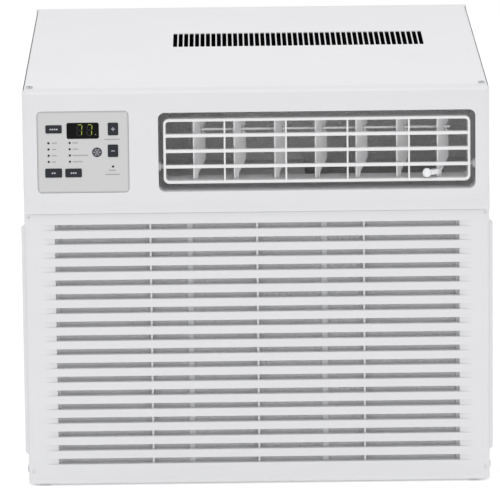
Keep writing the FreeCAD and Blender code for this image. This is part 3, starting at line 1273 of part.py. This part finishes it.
cabinet_wrap()
cabinet_base()
slide_rails()
rear_guard()
cabinet_screws()
cord_grommet()
front_fascia()
inlet_grille()
overlay_panel()
for button in BUTTONS:
    control_button(button)
display_lens()
display_module()
indicator_lights()
control_board()
louver_frame()
for vane_number in range(1, SIZES["vane_count"] + 1):
    vane(vane_number)
vane_link()
lever_knob()
filter_frame()
filter_mesh()
base_pan()
drain_plug()
bulkhead()
coil("evaporator", "evaporator_front", "coil_low", "evaporator_high")
coil("condenser", "condenser_front", "coil_low", "condenser_high")
blower_scroll()
discharge_duct()
condenser_shroud()
motor_shaft()
fan_motor()
motor_bracket()
blower_wheel()
condenser_fan()
compressor()
compressor_mounts()
accumulator()
refrigerant_lines()
control_box()
run_capacitor()
thermistor()
document.recompute()

for item in document.Objects:
    if "Invalid" in item.State or "Error" in item.State:
        raise RuntimeError(f"{item.Label} failed to build: {item.State}")
for name, item in finished.items():
    if item.Shape.isNull() or not item.Shape.isValid() or not item.Shape.Solids:
        raise RuntimeError(f"{name} has no valid solid")
for name, item in finished.items():
    item.Shape.exportStep(os.path.join("parts", name + ".step"))
print(len(finished), "sub-parts written")
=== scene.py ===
"""Finishes, fine pieces, light and camera for a window air conditioner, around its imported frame."""

import math
import random

import bmesh
import bpy
from mathutils import Matrix, Vector


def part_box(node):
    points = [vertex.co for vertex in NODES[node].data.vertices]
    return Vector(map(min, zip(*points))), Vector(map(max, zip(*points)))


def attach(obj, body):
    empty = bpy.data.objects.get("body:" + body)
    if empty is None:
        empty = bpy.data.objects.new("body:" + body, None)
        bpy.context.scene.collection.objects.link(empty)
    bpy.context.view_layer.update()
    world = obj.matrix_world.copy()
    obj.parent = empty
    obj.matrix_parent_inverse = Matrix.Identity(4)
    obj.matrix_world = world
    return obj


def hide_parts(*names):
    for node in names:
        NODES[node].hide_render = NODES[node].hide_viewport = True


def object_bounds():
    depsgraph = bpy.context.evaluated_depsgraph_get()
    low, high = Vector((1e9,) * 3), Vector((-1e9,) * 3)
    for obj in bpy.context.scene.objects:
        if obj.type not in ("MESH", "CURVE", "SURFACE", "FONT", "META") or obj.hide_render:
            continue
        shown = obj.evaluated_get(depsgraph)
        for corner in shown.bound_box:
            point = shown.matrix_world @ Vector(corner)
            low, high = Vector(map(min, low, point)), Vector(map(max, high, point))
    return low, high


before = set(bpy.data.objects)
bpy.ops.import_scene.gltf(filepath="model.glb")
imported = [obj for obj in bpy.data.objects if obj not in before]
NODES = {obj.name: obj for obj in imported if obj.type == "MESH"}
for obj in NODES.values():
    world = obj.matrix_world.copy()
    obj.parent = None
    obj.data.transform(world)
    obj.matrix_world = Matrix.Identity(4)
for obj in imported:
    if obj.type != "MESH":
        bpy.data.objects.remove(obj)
CAD_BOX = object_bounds()
MM = 0.001
random.seed(11)


# ---------------------------------------------------------------- shader maths

class Signal:
    """One output of a shader node, so that sums on it read as ordinary arithmetic."""

    def __init__(self, finish, socket):
        self.finish = finish
        self.socket = socket

    def _sum(self, operation, first, second):
        return self.finish.node("ShaderNodeMath", {"operation": operation}, {0: first, 1: second})

    def __add__(self, other):
        return self._sum("ADD", self, other)

    def __radd__(self, other):
        return self._sum("ADD", other, self)

    def __sub__(self, other):
        return self._sum("SUBTRACT", self, other)

    def __rsub__(self, other):
        return self._sum("SUBTRACT", other, self)

    def __mul__(self, other):
        return self._sum("MULTIPLY", self, other)

    def __rmul__(self, other):
        return self._sum("MULTIPLY", other, self)


class Finish:
    """A material under construction: its nodes, its shader and the few moves the recipes share."""

    def __init__(self, name, **constants):
        self.material = bpy.data.materials.new(name)
        self.material.use_nodes = True
        self.tree = self.material.node_tree
        self.tree.nodes.clear()
        self.shader = self.tree.nodes.new("ShaderNodeBsdfPrincipled")
        output = self.tree.nodes.new("ShaderNodeOutputMaterial")
        self.tree.links.new(self.shader.outputs[0], output.inputs["Surface"])
        self.place = self.node("ShaderNodeTexCoord", out="Object")
        for words, value in constants.items():
            self.set(words.replace("_", " "), value)

    def node(self, kind, settings=None, sockets=None, out=0):
        """Adds one node: its settings first, then the values or links of its sockets."""
        made = self.tree.nodes.new(kind)
        for name, value in (settings or {}).items():
            setattr(made, name, value)
        for name, value in (sockets or {}).items():
            self._feed(made.inputs[name], value)
        return Signal(self, made.outputs[out])

    def _feed(self, socket, value):
        if isinstance(value, Signal):
            self.tree.links.new(value.socket, socket)
        else:
            socket.default_value = value

    def set(self, name, value):
        """Feeds one socket of the shader, by its name in any case."""
        for socket in self.shader.inputs:
            if socket.name.lower() == name.lower():
                self._feed(socket, value)
                return
        raise KeyError(name)

    def noise(self, size, detail=2.0, place=None, roughness=0.5):
        """Soft random relief with lumps about the given size in metres, from 0 to 1."""
        sockets = {"Vector": place or self.place, "Scale": 1.0 / size}
        sockets.update({"Detail": detail, "Roughness": roughness})
        return self.node("ShaderNodeTexNoise", {}, sockets)

    def cells(self, size, out="Distance", feature="F1", place=None):
        """Random cells about the given size in metres."""
        sockets = {"Vector": place or self.place, "Scale": 1.0 / size}
        return self.node("ShaderNodeTexVoronoi", {"feature": feature}, sockets, out=out)

    def stretched(self, x, y, z):
        """The place on the piece, stretched along each axis by the given amounts."""
        return self.node("ShaderNodeVectorMath", {"operation": "MULTIPLY"}, {0: self.place, 1: (x, y, z)})

    def along(self, axis):
        """The place along one axis, in metres."""
        return self.node("ShaderNodeSeparateXYZ", {}, {0: self.place}, out=axis)

    def between(self, low, high, signal):
        """The signal, 0 to 1, spread between two numbers."""
        sockets = {"Value": signal, "To Min": low, "To Max": high}
        return self.node("ShaderNodeMapRange", {}, sockets)

    def step(self, signal, low, high):
        """0 below low, 1 above high and a smooth rise between."""
        sockets = {"Value": signal, "From Min": low, "From Max": high}
        return self.node("ShaderNodeMapRange", {"interpolation_type": "SMOOTHSTEP"}, sockets)

    def blend(self, amount, first, second):
        """One colour turning into another."""
        settings = {"data_type": "RGBA", "clamp_factor": True}
        return self.node("ShaderNodeMix", settings, {0: amount, 6: first, 7: second}, out=2)

    def relief(self, height, depth):
        """Raises the surface by the signal times the depth in metres."""
        sockets = {"Height": height, "Distance": depth, "Strength": 1.0}
        self.set("normal", self.node("ShaderNodeBump", {}, sockets))


def tone(red, green=None, blue=None, shift=0):
    """A linear colour from display values of 0 to 255, plus a shift; one number alone makes a grey."""
    values = (red, red if green is None else green, red if blue is None else blue)
    parts = [min(max(value + shift, 0), 255) / 255 for value in values]
    return (*[((part + 0.055) / 1.055) ** 2.4 if part > 0.04 else part / 12.92 for part in parts], 1.0)


# ---------------------------------------------------------------- finishes

def powder_coat(name, shade):
    """Baked white powder coat: fine orange peel, with a slow drift in tone."""
    coat = Finish(name, ior=1.5)
    drift = coat.noise(90 * MM, 3.0)
    coat.set("base color", coat.blend(drift, tone(*shade, shift=-2), tone(*shade, shift=2)))
    peel = coat.noise(1.1 * MM) * 0.7 + coat.noise(0.35 * MM, 1.0) * 0.3
    coat.set("roughness", coat.between(0.4, 0.54, coat.noise(6 * MM)))
    coat.relief(peel, 0.05 * MM)
    return coat.material


def moulded(name, shade, rough=0.42, grain=0.3, depth=0.02, drift=2, ior=1.5):
    """Satin moulded plastic: a spark-eroded grain, and faint flow marks."""
    plastic = Finish(name, ior=ior)
    flow = plastic.noise(60 * MM, 3.0, plastic.stretched(1.0, 1.0, 2.5))
    plastic.set("base color", plastic.blend(flow, tone(*shade, shift=-drift), tone(*shade, shift=drift)))
    plastic.set("roughness", plastic.between(rough - 0.05, rough + 0.07, plastic.noise(9 * MM, 3.0)))
    plastic.relief(plastic.noise(grain * MM), depth * MM)
    return plastic.material


def printed_film(name, shade):
    """Screen-printed polyester film: velvet texture, and painted shade in a band round all four edges,
    standing in for the shadow of the recess the film sits in.
    """
    film = Finish(name, ior=1.5)
    low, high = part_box("overlay_panel")
    across, up = film.along("X"), film.along("Z")
    inside = 1.0
    edges = ((low[0], across, 1), (high[0], across, -1), (low[2], up, 1), (high[2], up, -1))
    for edge, signal, inward in edges:
        gap = (signal - edge) * inward
        inside = film.step(gap, 0.4 * MM, 2.4 * MM) * inside
    speckle = film.noise(0.4 * MM)
    plain = film.blend(speckle, tone(*shade, shift=-2), tone(*shade, shift=2))
    # Painted shade: the film is 22 darker near every edge of the overlay, as the shadow of its recess.
    film.set("base color", film.blend(inside, tone(*shade, shift=-22), plain))
    film.set("roughness", film.between(0.42, 0.55, film.noise(5 * MM)))
    film.relief(speckle, 0.01 * MM)
    return film.material


def ink(name, shade):
    """Printed ink, a little uneven where the screen let less through."""
    print_ = Finish(name, ior=1.45)
    uneven = print_.noise(0.5 * MM)
    print_.set("base color", print_.blend(uneven, tone(*shade, shift=-6), tone(*shade, shift=6)))
    print_.set("roughness", print_.between(0.4, 0.5, print_.noise(2 * MM)))
    return print_.material


def galvanised(name):
    """Hot-dip zinc sheet: large frosty crystals, each with its own grey and sheen."""
    zinc = Finish(name, metallic=0.85)
    crystal = zinc.cells(9 * MM, out="Color")
    grey = zinc.node("ShaderNodeSeparateColor", {}, {0: crystal})
    fine = zinc.noise(1.5 * MM, 3.0, zinc.stretched(1.0, 1.0, 0.3))
    patch = grey * 0.7 + fine * 0.3
    zinc.set("base color", zinc.blend(patch, tone(158, 161, 164), tone(196, 198, 200)))
    zinc.set("roughness", zinc.between(0.34, 0.56, patch))
    zinc.relief(fine, 0.02 * MM)
    return zinc.material


def enamel(name, shade):
    """Semi-gloss black enamel with a light sag and dust in the film."""
    paint = Finish(name, ior=1.5, coat_weight=0.25)
    paint.set("base color", paint.blend(paint.noise(40 * MM, 3.0), tone(*shade), tone(*shade, shift=8)))
    dust = paint.step(paint.noise(0.8 * MM, 1.0), 0.62, 0.75)
    paint.set("roughness", 0.32 + dust * 0.2 + paint.noise(15 * MM) * 0.08)
    paint.relief(paint.noise(2.2 * MM) + dust * 0.4, 0.06 * MM)
    return paint.material


def bare_metal(name, shade, rough, stretch, metallic=1.0, depth=0.01, mottled=10):
    """Worked bare metal: tool or roll marks drawn out along one direction, and a slow mottle."""
    metal = Finish(name, metallic=metallic)
    marks = metal.noise(0.5 * MM, 3.0, metal.stretched(*stretch))
    mottle = metal.noise(18 * MM, 4.0) * 0.6 + marks * 0.4
    metal.set("base color", metal.blend(mottle, tone(*shade, shift=-mottled), tone(*shade, shift=mottled)))
    metal.set("roughness", metal.between(rough - 0.08, rough + 0.12, marks))
    metal.relief(marks, depth * MM)
    return metal.material


def copper_tube(name):
    """Drawn copper tube: bright where it was handled, browner between, fine draw lines."""
    copper = Finish(name, metallic=1.0)
    tarnish = copper.noise(14 * MM, 5.0, roughness=0.65)
    spots = copper.step(copper.noise(3 * MM, 3.0), 0.6, 0.72)
    bright = copper.blend(copper.step(tarnish, 0.35, 0.7), tone(214, 138, 100), tone(158, 92, 64))
    copper.set("base color", copper.blend(spots * 0.5, bright, tone(104, 64, 50)))
    copper.set("roughness", 0.24 + tarnish * 0.2 + spots * 0.1)
    copper.relief(copper.noise(0.4 * MM), 0.006 * MM)
    return copper.material


def foam_beads(name, shade):
    """Steam-moulded bead foam: pressed beads with dark lines where they meet."""
    foam = Finish(name, ior=1.4)
    bead = foam.cells(3.6 * MM)
    seam = foam.step(foam.cells(3.6 * MM, feature="DISTANCE_TO_EDGE"), 0.0, 0.12)
    foam.set("base color", foam.blend(seam, tone(*shade, shift=-16), tone(*shade)))
    foam.set("roughness", foam.between(0.7, 0.85, bead))
    foam.relief(seam * 0.5 - bead * 0.5, 0.35 * MM)
    return foam.material


def rubber(name, shade):
    """Moulded rubber with a pale bloom and fine pits."""
    bush = Finish(name, ior=1.5)
    bloom = bush.noise(7 * MM, 4.0)
    bush.set("base color", bush.blend(bloom, tone(*shade), tone(*shade, shift=14)))
    bush.set("roughness", bush.between(0.62, 0.85, bloom))
    bush.relief(bush.noise(0.6 * MM, 3.0), 0.05 * MM)
    return bush.material


def circuit_laminate(name):
    """Green solder mask over copper: paler where a track runs beneath."""
    board = Finish(name, ior=1.5, coat_weight=0.3)
    lane = board.cells(2.4 * MM, feature="DISTANCE_TO_EDGE", place=board.stretched(1.0, 0.0, 1.0))
    track = 1.0 - board.step(lane, 0.08, 0.12)
    board.set("base color", board.blend(track, tone(16, 78, 44), tone(44, 128, 74)))
    board.set("roughness", board.between(0.25, 0.4, board.noise(3 * MM)))
    board.relief(track, 0.03 * MM)
    return board.material


def lit(name, shade, strength):
    """A glowing segment of the display; on the unlit segments this glow is painted light."""
    glow = Finish(name, emission_strength=strength, roughness=0.4)
    flicker = glow.blend(glow.noise(1.5 * MM), tone(*shade, shift=-20), tone(*shade))
    glow.set("base color", tone(*shade, shift=-90))
    glow.set("emission color", flicker)
    return glow.material


FINISHES = {
    "case_paint": powder_coat("powder_coat", (229, 229, 231)),
    "white_plastic": moulded("white_abs", (224, 224, 226)),
    "louver_plastic": moulded("louver_abs", (234, 234, 235), rough=0.36),
    "overlay_film": printed_film("overlay_grey", (204, 204, 204)),
    "key_plastic": moulded("key_dark", (26, 31, 40), rough=0.4, ior=1.4),
    "knob_plastic": moulded("knob_white", (238, 239, 240), rough=0.18, depth=0.004),
    "lens_plastic": moulded("lens_black", (8, 8, 9), rough=0.14, depth=0.003, drift=1, ior=1.2),
    "light_plastic": moulded("light_smoke", (18, 19, 19), rough=0.25, depth=0.003),
    "board_laminate": circuit_laminate("board_green"),
    "display_plastic": moulded("display_black", (24, 24, 25), rough=0.4),
    "filter_plastic": moulded("filter_grey", (214, 215, 217), rough=0.5),
    "filter_weave": moulded("filter_net", (240, 240, 241), rough=0.55, grain=0.2),
    "galvanised_steel": galvanised("zinc_spangle"),
    "black_paint": enamel("black_enamel", (20, 20, 21)),
    "motor_steel": bare_metal("motor_shell", (170, 172, 175), 0.38, (1.0, 0.15, 1.0)),
    "shaft_steel": bare_metal("shaft_ground", (196, 196, 198), 0.2, (0.2, 3.0, 0.2)),
    "screw_steel": bare_metal("screw_zinc", (200, 202, 205), 0.3, (1.0, 1.0, 1.0)),
    "fin_aluminium": bare_metal("fin_foil", (205, 208, 210), 0.34, (1.0, 1.0, 0.1)),
    "copper": copper_tube("copper_tube"),
    "duct_foam": foam_beads("duct_beads", (242, 242, 242)),
    "scroll_foam": foam_beads("scroll_beads", (222, 222, 220)),
    "wheel_plastic": moulded("wheel_black", (34, 34, 36), rough=0.45, grain=0.5),
    "shroud_plastic": moulded("shroud_grey", (52, 52, 54), rough=0.5, grain=0.6, depth=0.05),
    "black_rubber": rubber("rubber_black", (24, 24, 24)),
    "capacitor_can": bare_metal("can_drawn", (205, 207, 210), 0.28, (1.0, 0.1, 1.0)),
    "runner_plastic": moulded("runner_white", (222, 221, 214), rough=0.35),
}


def dress():
    """Gives every carried-over node the finish of its own slot."""
    for node in NODES.values():
        slot = node.data.materials[0].name.split(".")[0]
        node.data.materials[0] = FINISHES[slot]


# ---------------------------------------------------------------- making pieces

class Work:
    """A mesh being built in metres, which becomes one named piece on one body."""

    def __init__(self):
        self.mesh = bmesh.new()

    def shell(self, points, faces):
        corners = [self.mesh.verts.new(point) for point in points]
        for face in faces:
            self.mesh.faces.new([corners[index] for index in face])

    def bar(self, low, high):
        """A straight bar between two opposite corners."""
        (x0, y0, z0), (x1, y1, z1) = low, high
        points = [(x, y, z) for x in (x0, x1) for y in (y0, y1) for z in (z0, z1)]
        across = ((0, 1, 3, 2), (4, 6, 7, 5))
        around = ((0, 4, 5, 1), (2, 3, 7, 6), (0, 2, 6, 4), (1, 5, 7, 3))
        self.shell(points, across + around)

    def plate(self, outline, near, far):
        """A flat outline of x and z points, made solid between two depths."""
        count = len(outline)
        points = [(x, near, z) for x, z in outline] + [(x, far, z) for x, z in outline]
        sides = [(i, (i + 1) % count, count + (i + 1) % count, count + i) for i in range(count)]
        self.shell(points, [tuple(range(count)), tuple(reversed(range(count, 2 * count))), *sides])

    def turned(self, profile, centre, axis, steps=48):
        """A closed profile of (radius, height) points turned about an axis through a centre."""
        turn = Vector((0, 0, 1)).rotation_difference(Vector(axis)).to_matrix()
        rings = []
        for step in range(steps):
            angle = 2 * math.pi * step / steps
            ring = []
            for radius, height in profile:
                spot = turn @ Vector((radius * math.cos(angle), radius * math.sin(angle), height))
                ring.append(self.mesh.verts.new(spot + Vector(centre)))
            rings.append(ring)
        count = len(profile)
        for step, ring in enumerate(rings):
            after = rings[(step + 1) % steps]
            for index in range(count):
                nearby = (index + 1) % count
                self.mesh.faces.new((ring[index], ring[nearby], after[nearby], after[index]))

    def piece(self, name, body, slot, finish=None, smooth=False, instead_of=None):
        """Closes the mesh, and gives it its finish and its body."""
        bmesh.ops.remove_doubles(self.mesh, verts=self.mesh.verts, dist=0.001 * MM)
        bmesh.ops.recalc_face_normals(self.mesh, faces=self.mesh.faces)
        mesh = bpy.data.meshes.new(name)
        self.mesh.to_mesh(mesh)
        self.mesh.free()
        mesh.materials.append(finish or FINISHES[slot])
        made = bpy.data.objects.new(name, mesh)
        bpy.context.scene.collection.objects.link(made)
        if smooth:
            mesh.shade_smooth()
        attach(made, body)
        if instead_of:
            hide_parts(instead_of)
        return made


# ---------------------------------------------------------------- coils and filter

def fin_stack(node, body, pitch, ripple, foil):
    """Foil fins at their real pitch: each one a rippled sheet across the air, a little out of true."""
    low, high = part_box(node)
    folds = 8
    count = int((high[0] - low[0]) / pitch)
    work = Work()
    for number in range(count):
        x = low[0] + (number + 0.5) * pitch
        lean = random.uniform(-0.1, 0.1) * pitch
        points = []
        for fold in range(folds + 1):
            y = low[1] + (high[1] - low[1]) * fold / folds
            wave = ripple if fold % 2 else -ripple
            points += [(x + wave + lean, y, low[2]), (x + wave - lean, y, high[2])]
        work.shell(points, [(2 * i, 2 * i + 1, 2 * i + 3, 2 * i + 2) for i in range(folds)])
    stack = work.piece(f"{node}_fine", body, "fin_aluminium", instead_of=node)
    thick = stack.modifiers.new("foil", "SOLIDIFY")
    thick.thickness = foil
    thick.offset = 0.0


def filter_net():
    """Filter net: upright threads, with level threads welded into them half a thread further back."""
    low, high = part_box("filter_mesh")
    pitch, half = 1.2 * MM, 0.32 * MM
    middle = (low[1] + high[1]) / 2
    work = Work()
    for number in range(int((high[0] - low[0]) / pitch)):
        x = low[0] + (number + 0.5) * pitch
        work.bar((x - half, middle - 2 * half, low[2]), (x + half, middle, high[2]))
    for number in range(int((high[2] - low[2]) / pitch)):
        z = low[2] + (number + 0.5) * pitch
        work.bar((low[0], middle - half, z - half), (high[0], middle + half, z + half))
    work.piece("filter_net", "grille", "filter_weave", instead_of="filter_mesh")


# ---------------------------------------------------------------- control panel

SEGMENTS = {
    "top": ((-1, 1), (1, 1)), "middle": ((-1, 0), (1, 0)), "foot": ((-1, -1), (1, -1)),
    "left_high": ((-1, 0), (-1, 1)), "right_high": ((1, 0), (1, 1)),
    "left_low": ((-1, -1), (-1, 0)), "right_low": ((1, -1), (1, 0)),
}


PRINT_SUNK = 0.2 * MM    # how far the back of a printed mark lies inside the surface that it is on


def digit(x, z, height, lit_segments, face):
    """Pieces of one seven-segment digit, split into the lit and the dark segments."""
    half_high, half_wide, stroke, slant = height / 2, height * 0.21, height * 0.075, 0.06
    split = {True: Work(), False: Work()}
    for name, (start, end) in SEGMENTS.items():
        first = Vector((x + start[0] * half_wide + slant * start[1] * half_high, z + start[1] * half_high))
        last = Vector((x + end[0] * half_wide + slant * end[1] * half_high, z + end[1] * half_high))
        run = (last - first).normalized()
        first, last = first + run * stroke * 0.6, last - run * stroke * 0.6
        side = Vector((-run.y, run.x)) * stroke / 2
        tip = run * stroke / 2
        outline = [first, first + tip + side, last - tip + side,
                   last, last - tip - side, first + tip - side]
        flat = [tuple(point) for point in outline]
        split[name in lit_segments].plate(flat, face - 0.06 * MM, face + PRINT_SUNK)
    return split


def display():
    """Two lit digits and a small lamp behind the black window."""
    low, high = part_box("display_lens")
    wide, tall = high[0] - low[0], high[2] - low[2]
    sevens = ("top", "right_high", "right_low")
    glow = lit("segment_glow", (160, 170, 70), 0.8)
    # The unlit segments get a faint painted glow, standing in for the room light they would only reflect.
    unlit_painted_glow = lit("segment_asleep", (44, 46, 30), 0.2)
    for number, along in enumerate((0.40, 0.71)):
        x, z = low[0] + wide * along, high[2] - tall * 0.46
        parts = digit(x, z, tall * 0.68, sevens, low[1])
        parts[True].piece(f"digit_{number + 1}_lit", "chassis", "lens_plastic", glow)
        parts[False].piece(f"digit_{number + 1}_dark", "chassis", "lens_plastic", unlit_painted_glow)
    lamp = Work()
    axis_gap, radius = 0.01 * MM, 0.8 * MM
    dome = [(axis_gap, 0), (radius, 0), (radius * 0.7, 0.2 * MM), (axis_gap, 0.25 * MM)]
    lamp.turned(dome, (low[0] + wide * 0.9, low[1] + 0.1 * MM, high[2] - tall * 0.74), (0, -1, 0), 20)
    pale = lit("lamp_pale", (176, 178, 160), 0.35)
    lamp.piece("display_lamp", "chassis", "lens_plastic", pale, smooth=True)


KEY_MARK_RISE = 0.04 * MM
KEY_MARK_SUNK = 0.1 * MM


def key_marks():
    """Pale marks on the keys: plus, minus, and a row of plain dashes where a word would be."""
    pale = ink("key_ink", (196, 197, 208))
    for body in ("plus_button", "minus_button"):
        low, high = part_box(body)
        x, face, z = (low[0] + high[0]) / 2, low[1], (low[2] + high[2]) / 2
        arm, stroke = 2.2 * MM, 0.45 * MM
        near, far = face - KEY_MARK_RISE, face + KEY_MARK_SUNK
        work = Work()
        work.bar((x - arm, near, z - stroke), (x + arm, far, z + stroke))
        if body == "plus_button":
            work.bar((x - stroke, near, z - arm), (x + stroke, far, z + arm))
        work.piece(f"{body}_mark", body, "key_plastic", pale)
    for body, dashes in (("power_button", 4), ("fan_button", 2), ("mode_button", 3)):
        low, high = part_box(body)
        x, face, z = (low[0] + high[0]) / 2, low[1], (low[2] + high[2]) / 2
        pitch, gap, half_tall = 2.6 * MM, 0.8 * MM, 0.8 * MM
        work = Work()
        for number in range(dashes):
            left = x + (number - dashes / 2) * pitch + gap / 2
            work.bar((left, face - KEY_MARK_RISE, z - half_tall),
                     (left + pitch - gap, face + KEY_MARK_SUNK, z + half_tall))
        work.piece(f"{body}_mark", body, "key_plastic", pale)


def film_print():
    """Printing on the film: a plain dash beside each light, and a round snow star."""
    low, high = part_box("overlay_panel")
    face = low[1]
    ink_rise = 0.03 * MM
    near, far = face - ink_rise, face + PRINT_SUNK
    grey = ink("print_grey", (164, 164, 166))
    dark = ink("print_dark", (52, 52, 66))

    def dash(work, x, z, wide, tall):
        work.bar((x, near, z - tall / 2), (x + wide, far, z + tall / 2))

    left, top = low[0], high[2]
    work = Work()
    rows = (38.4, 46.1, 53.8, 61.4)
    dash_tall = 1.5 * MM
    for column, widths in ((17.5, (6, 5.4, 6, 4.6)), (42.5, (6.6, 6.4, 18.5, 12))):
        for row, wide in zip(rows, widths):
            dash(work, left + column * MM, top - row * MM, wide * MM, dash_tall)
    for x, z, wide in ((81, 34.5, 18), (85.6, 72.5, 8.5), (81.5, 77.5, 17)):
        dash(work, left + x * MM, top - z * MM, wide * MM, dash_tall)
    work.piece("film_dashes", "chassis", "overlay_film", grey)
    x, z, badge_radius = left + 71.8 * MM, top - 50.2 * MM, 6.0 * MM
    badge = Work()
    ring = [(x + badge_radius * math.cos(a), z + badge_radius * math.sin(a)) for a in turn_steps(40)]
    badge.plate(ring, near, far)
    badge.piece("snow_disc", "chassis", "overlay_film", dark)
    star = Work()
    for spoke in range(6):
        run = Vector((math.cos(spoke * math.pi / 3), math.sin(spoke * math.pi / 3)))
        square = Vector((-run.y, run.x))
        side = square * 0.42 * MM
        for start, end, lean in ((0.6, 4.6, 0.0), (2.4, 3.9, 1.12), (2.4, 3.9, -1.12)):
            first = Vector((x, z)) + run * start * MM
            last = Vector((x, z)) + run * end * MM + square * lean * MM
            outline = [first + side, last + side, last - side, first - side]
            star.plate([tuple(point) for point in outline], near - ink_rise, far)
    star.piece("snow_star", "chassis", "overlay_film", grey)


def turn_steps(count):
    """Evenly spaced angles round a full turn."""
    return [2 * math.pi * step / count for step in range(count)]


# ---------------------------------------------------------------- case and working parts

def screw_crosses():
    """Dark crosses on the screw heads, painted shadow standing in for the cross recesses, read off the
    heads themselves.
    """
    mesh = NODES["cabinet_screws"].data
    bm = bmesh.new()
    bm.from_mesh(mesh)
    bmesh.ops.remove_doubles(bm, verts=bm.verts, dist=0.001 * MM)
    seen, work = set(), Work()
    for start in bm.verts:
        if start in seen:
            continue
        group, queue = [], [start]
        seen.add(start)
        while queue:
            vert = queue.pop()
            group.append(vert.co.copy())
            for edge in vert.link_edges:
                other = edge.other_vert(vert)
                if other not in seen:
                    seen.add(other)
                    queue.append(other)
        cross(work, group)
    bm.free()
    # The crosses take the black display plastic, as painted shadow where the recesses would lie in shade.
    work.piece("screw_cross_painted_shadow", "cabinet", "screw_steel", FINISHES["display_plastic"])


def cross(work, points):
    """One dark cross on the outer face of a screw whose points are given: painted shadow in place of the
    shaded recess.
    """
    low = [min(p[i] for p in points) for i in range(3)]
    high = [max(p[i] for p in points) for i in range(3)]
    middle = [(a + b) / 2 for a, b in zip(low, high)]
    spans = [b - a for a, b in zip(low, high)]
    axis = max(range(3), key=lambda i: abs(spans[i] - sorted(spans)[1]))
    outward = 1 if middle[axis] > 0 else -1
    face = high[axis] if outward > 0 else low[axis]
    flat = [i for i in range(3) if i != axis]
    reach, stroke, rise = 2.2 * MM, 0.45 * MM, 0.03 * MM
    for long_axis, short_axis in (flat, flat[::-1]):
        one, other = [0, 0, 0], [0, 0, 0]
        one[axis], other[axis] = sorted((face + outward * rise, face - outward * 0.3 * MM))
        one[long_axis], other[long_axis] = middle[long_axis] - reach, middle[long_axis] + reach
        one[short_axis], other[short_axis] = middle[short_axis] - stroke, middle[short_axis] + stroke
        work.bar(one, other)


def weld_bead():
    """Rippled weld where the compressor's cap meets its can."""
    low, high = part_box("compressor")
    x, y, radius = -180 * MM, (low[1] + high[1]) / 2, 66 * MM
    level = low[2] + 0.62 * (high[2] - low[2])
    work = Work()
    ripples, around = 150, 12
    rings = []
    for step in range(ripples * 2):
        angle = math.pi * step / ripples
        fat = (1.9 if step % 2 else 1.55) * MM
        ring = []
        for turn in turn_steps(around):
            out = radius + fat * math.cos(turn)
            spot = (x + out * math.cos(angle), y + out * math.sin(angle), level + fat * math.sin(turn))
            ring.append(work.mesh.verts.new(spot))
        rings.append(ring)
    for step, ring in enumerate(rings):
        after = rings[(step + 1) % len(rings)]
        for index in range(around):
            nearby = (index + 1) % around
            work.mesh.faces.new((ring[index], ring[nearby], after[nearby], after[index]))
    work.piece("compressor_weld", "chassis", "black_paint", smooth=True)


dress()
fin_stack("evaporator_fins", "chassis", 1.8 * MM, 0.3 * MM, 0.12 * MM)
fin_stack("condenser_fins", "chassis", 1.8 * MM, 0.3 * MM, 0.12 * MM)
filter_net()
display()
key_marks()
film_print()
screw_crosses()
weld_bead()


# ---------------------------------------------------------------- stage, light and camera

def floor():
    """A wide white floor under the cabinet, with a faint glow of its own that keeps it white far back."""
    reach = 30.0
    mesh = bpy.data.meshes.new("floor")
    bm = bmesh.new()
    bmesh.ops.create_grid(bm, x_segments=1, y_segments=1, size=reach)
    bm.to_mesh(mesh)
    bm.free()
    slab = bpy.data.objects.new("floor", mesh)
    slab.location.z = CAD_BOX[0][2]
    paint = Finish("floor_paint", roughness=0.8, emission_color=tone(255), emission_strength=0.22)
    paint.set("base color", paint.blend(paint.noise(0.4, 3.0), tone(250), tone(253)))
    mesh.materials.append(paint.material)
    bpy.context.scene.collection.objects.link(slab)


def soft_light(name, place, aim, size, power):
    """A large square lamp at a place, turned to face a point."""
    lamp = bpy.data.lights.new(name, "AREA")
    lamp.shape = "RECTANGLE"
    lamp.size, lamp.size_y = size
    lamp.energy = power
    holder = bpy.data.objects.new(name, lamp)
    holder.location = place
    holder.rotation_euler = (Vector(aim) - Vector(place)).to_track_quat("-Z", "Y").to_euler()
    bpy.context.scene.collection.objects.link(holder)


def lights():
    """White surroundings, with a big lamp above and a fill from the front."""
    world = bpy.data.worlds.new("studio")
    world.use_nodes = True
    background = world.node_tree.nodes["Background"]
    background.inputs["Color"].default_value = (1.0, 1.0, 1.0, 1.0)
    background.inputs["Strength"].default_value = 0.76
    bpy.context.scene.world = world
    soft_light("lamp_above", (0.0, -0.6, 3.0), (0.0, 0.0, 0.4), (3.0, 3.0), 30.0)
    soft_light("lamp_front", (-1.4, -3.4, 1.2), (0.0, 0.0, 0.25), (2.0, 2.0), 2.0)


def camera():
    """A long lens far back, a little above the cabinet and almost square to its front."""
    pitch = math.radians(12.225)
    yaw = math.radians(-0.348)
    roll = math.radians(0.615)
    right = Vector((math.cos(yaw), math.sin(yaw), 0.0))
    forward = Vector((-math.sin(yaw) * math.cos(pitch), math.cos(yaw) * math.cos(pitch), -math.sin(pitch)))
    up = Vector((-math.sin(yaw) * math.sin(pitch), math.cos(yaw) * math.sin(pitch), math.cos(pitch)))
    across = right * math.cos(roll) - up * math.sin(roll)
    upward = right * math.sin(roll) + up * math.cos(roll)
    place = Vector((-0.0463, -6.4618, 1.6268))
    lens = bpy.data.cameras.new("camera")
    lens.sensor_width = 36.0
    lens.lens = 375.5
    holder = bpy.data.objects.new("camera", lens)
    turn = Matrix((across, upward, -forward)).transposed().to_4x4()
    holder.matrix_world = Matrix.Translation(place) @ turn
    bpy.context.scene.collection.objects.link(holder)
    bpy.context.scene.camera = holder


floor()
lights()
camera()
bpy.context.scene.view_settings.view_transform = "Standard"
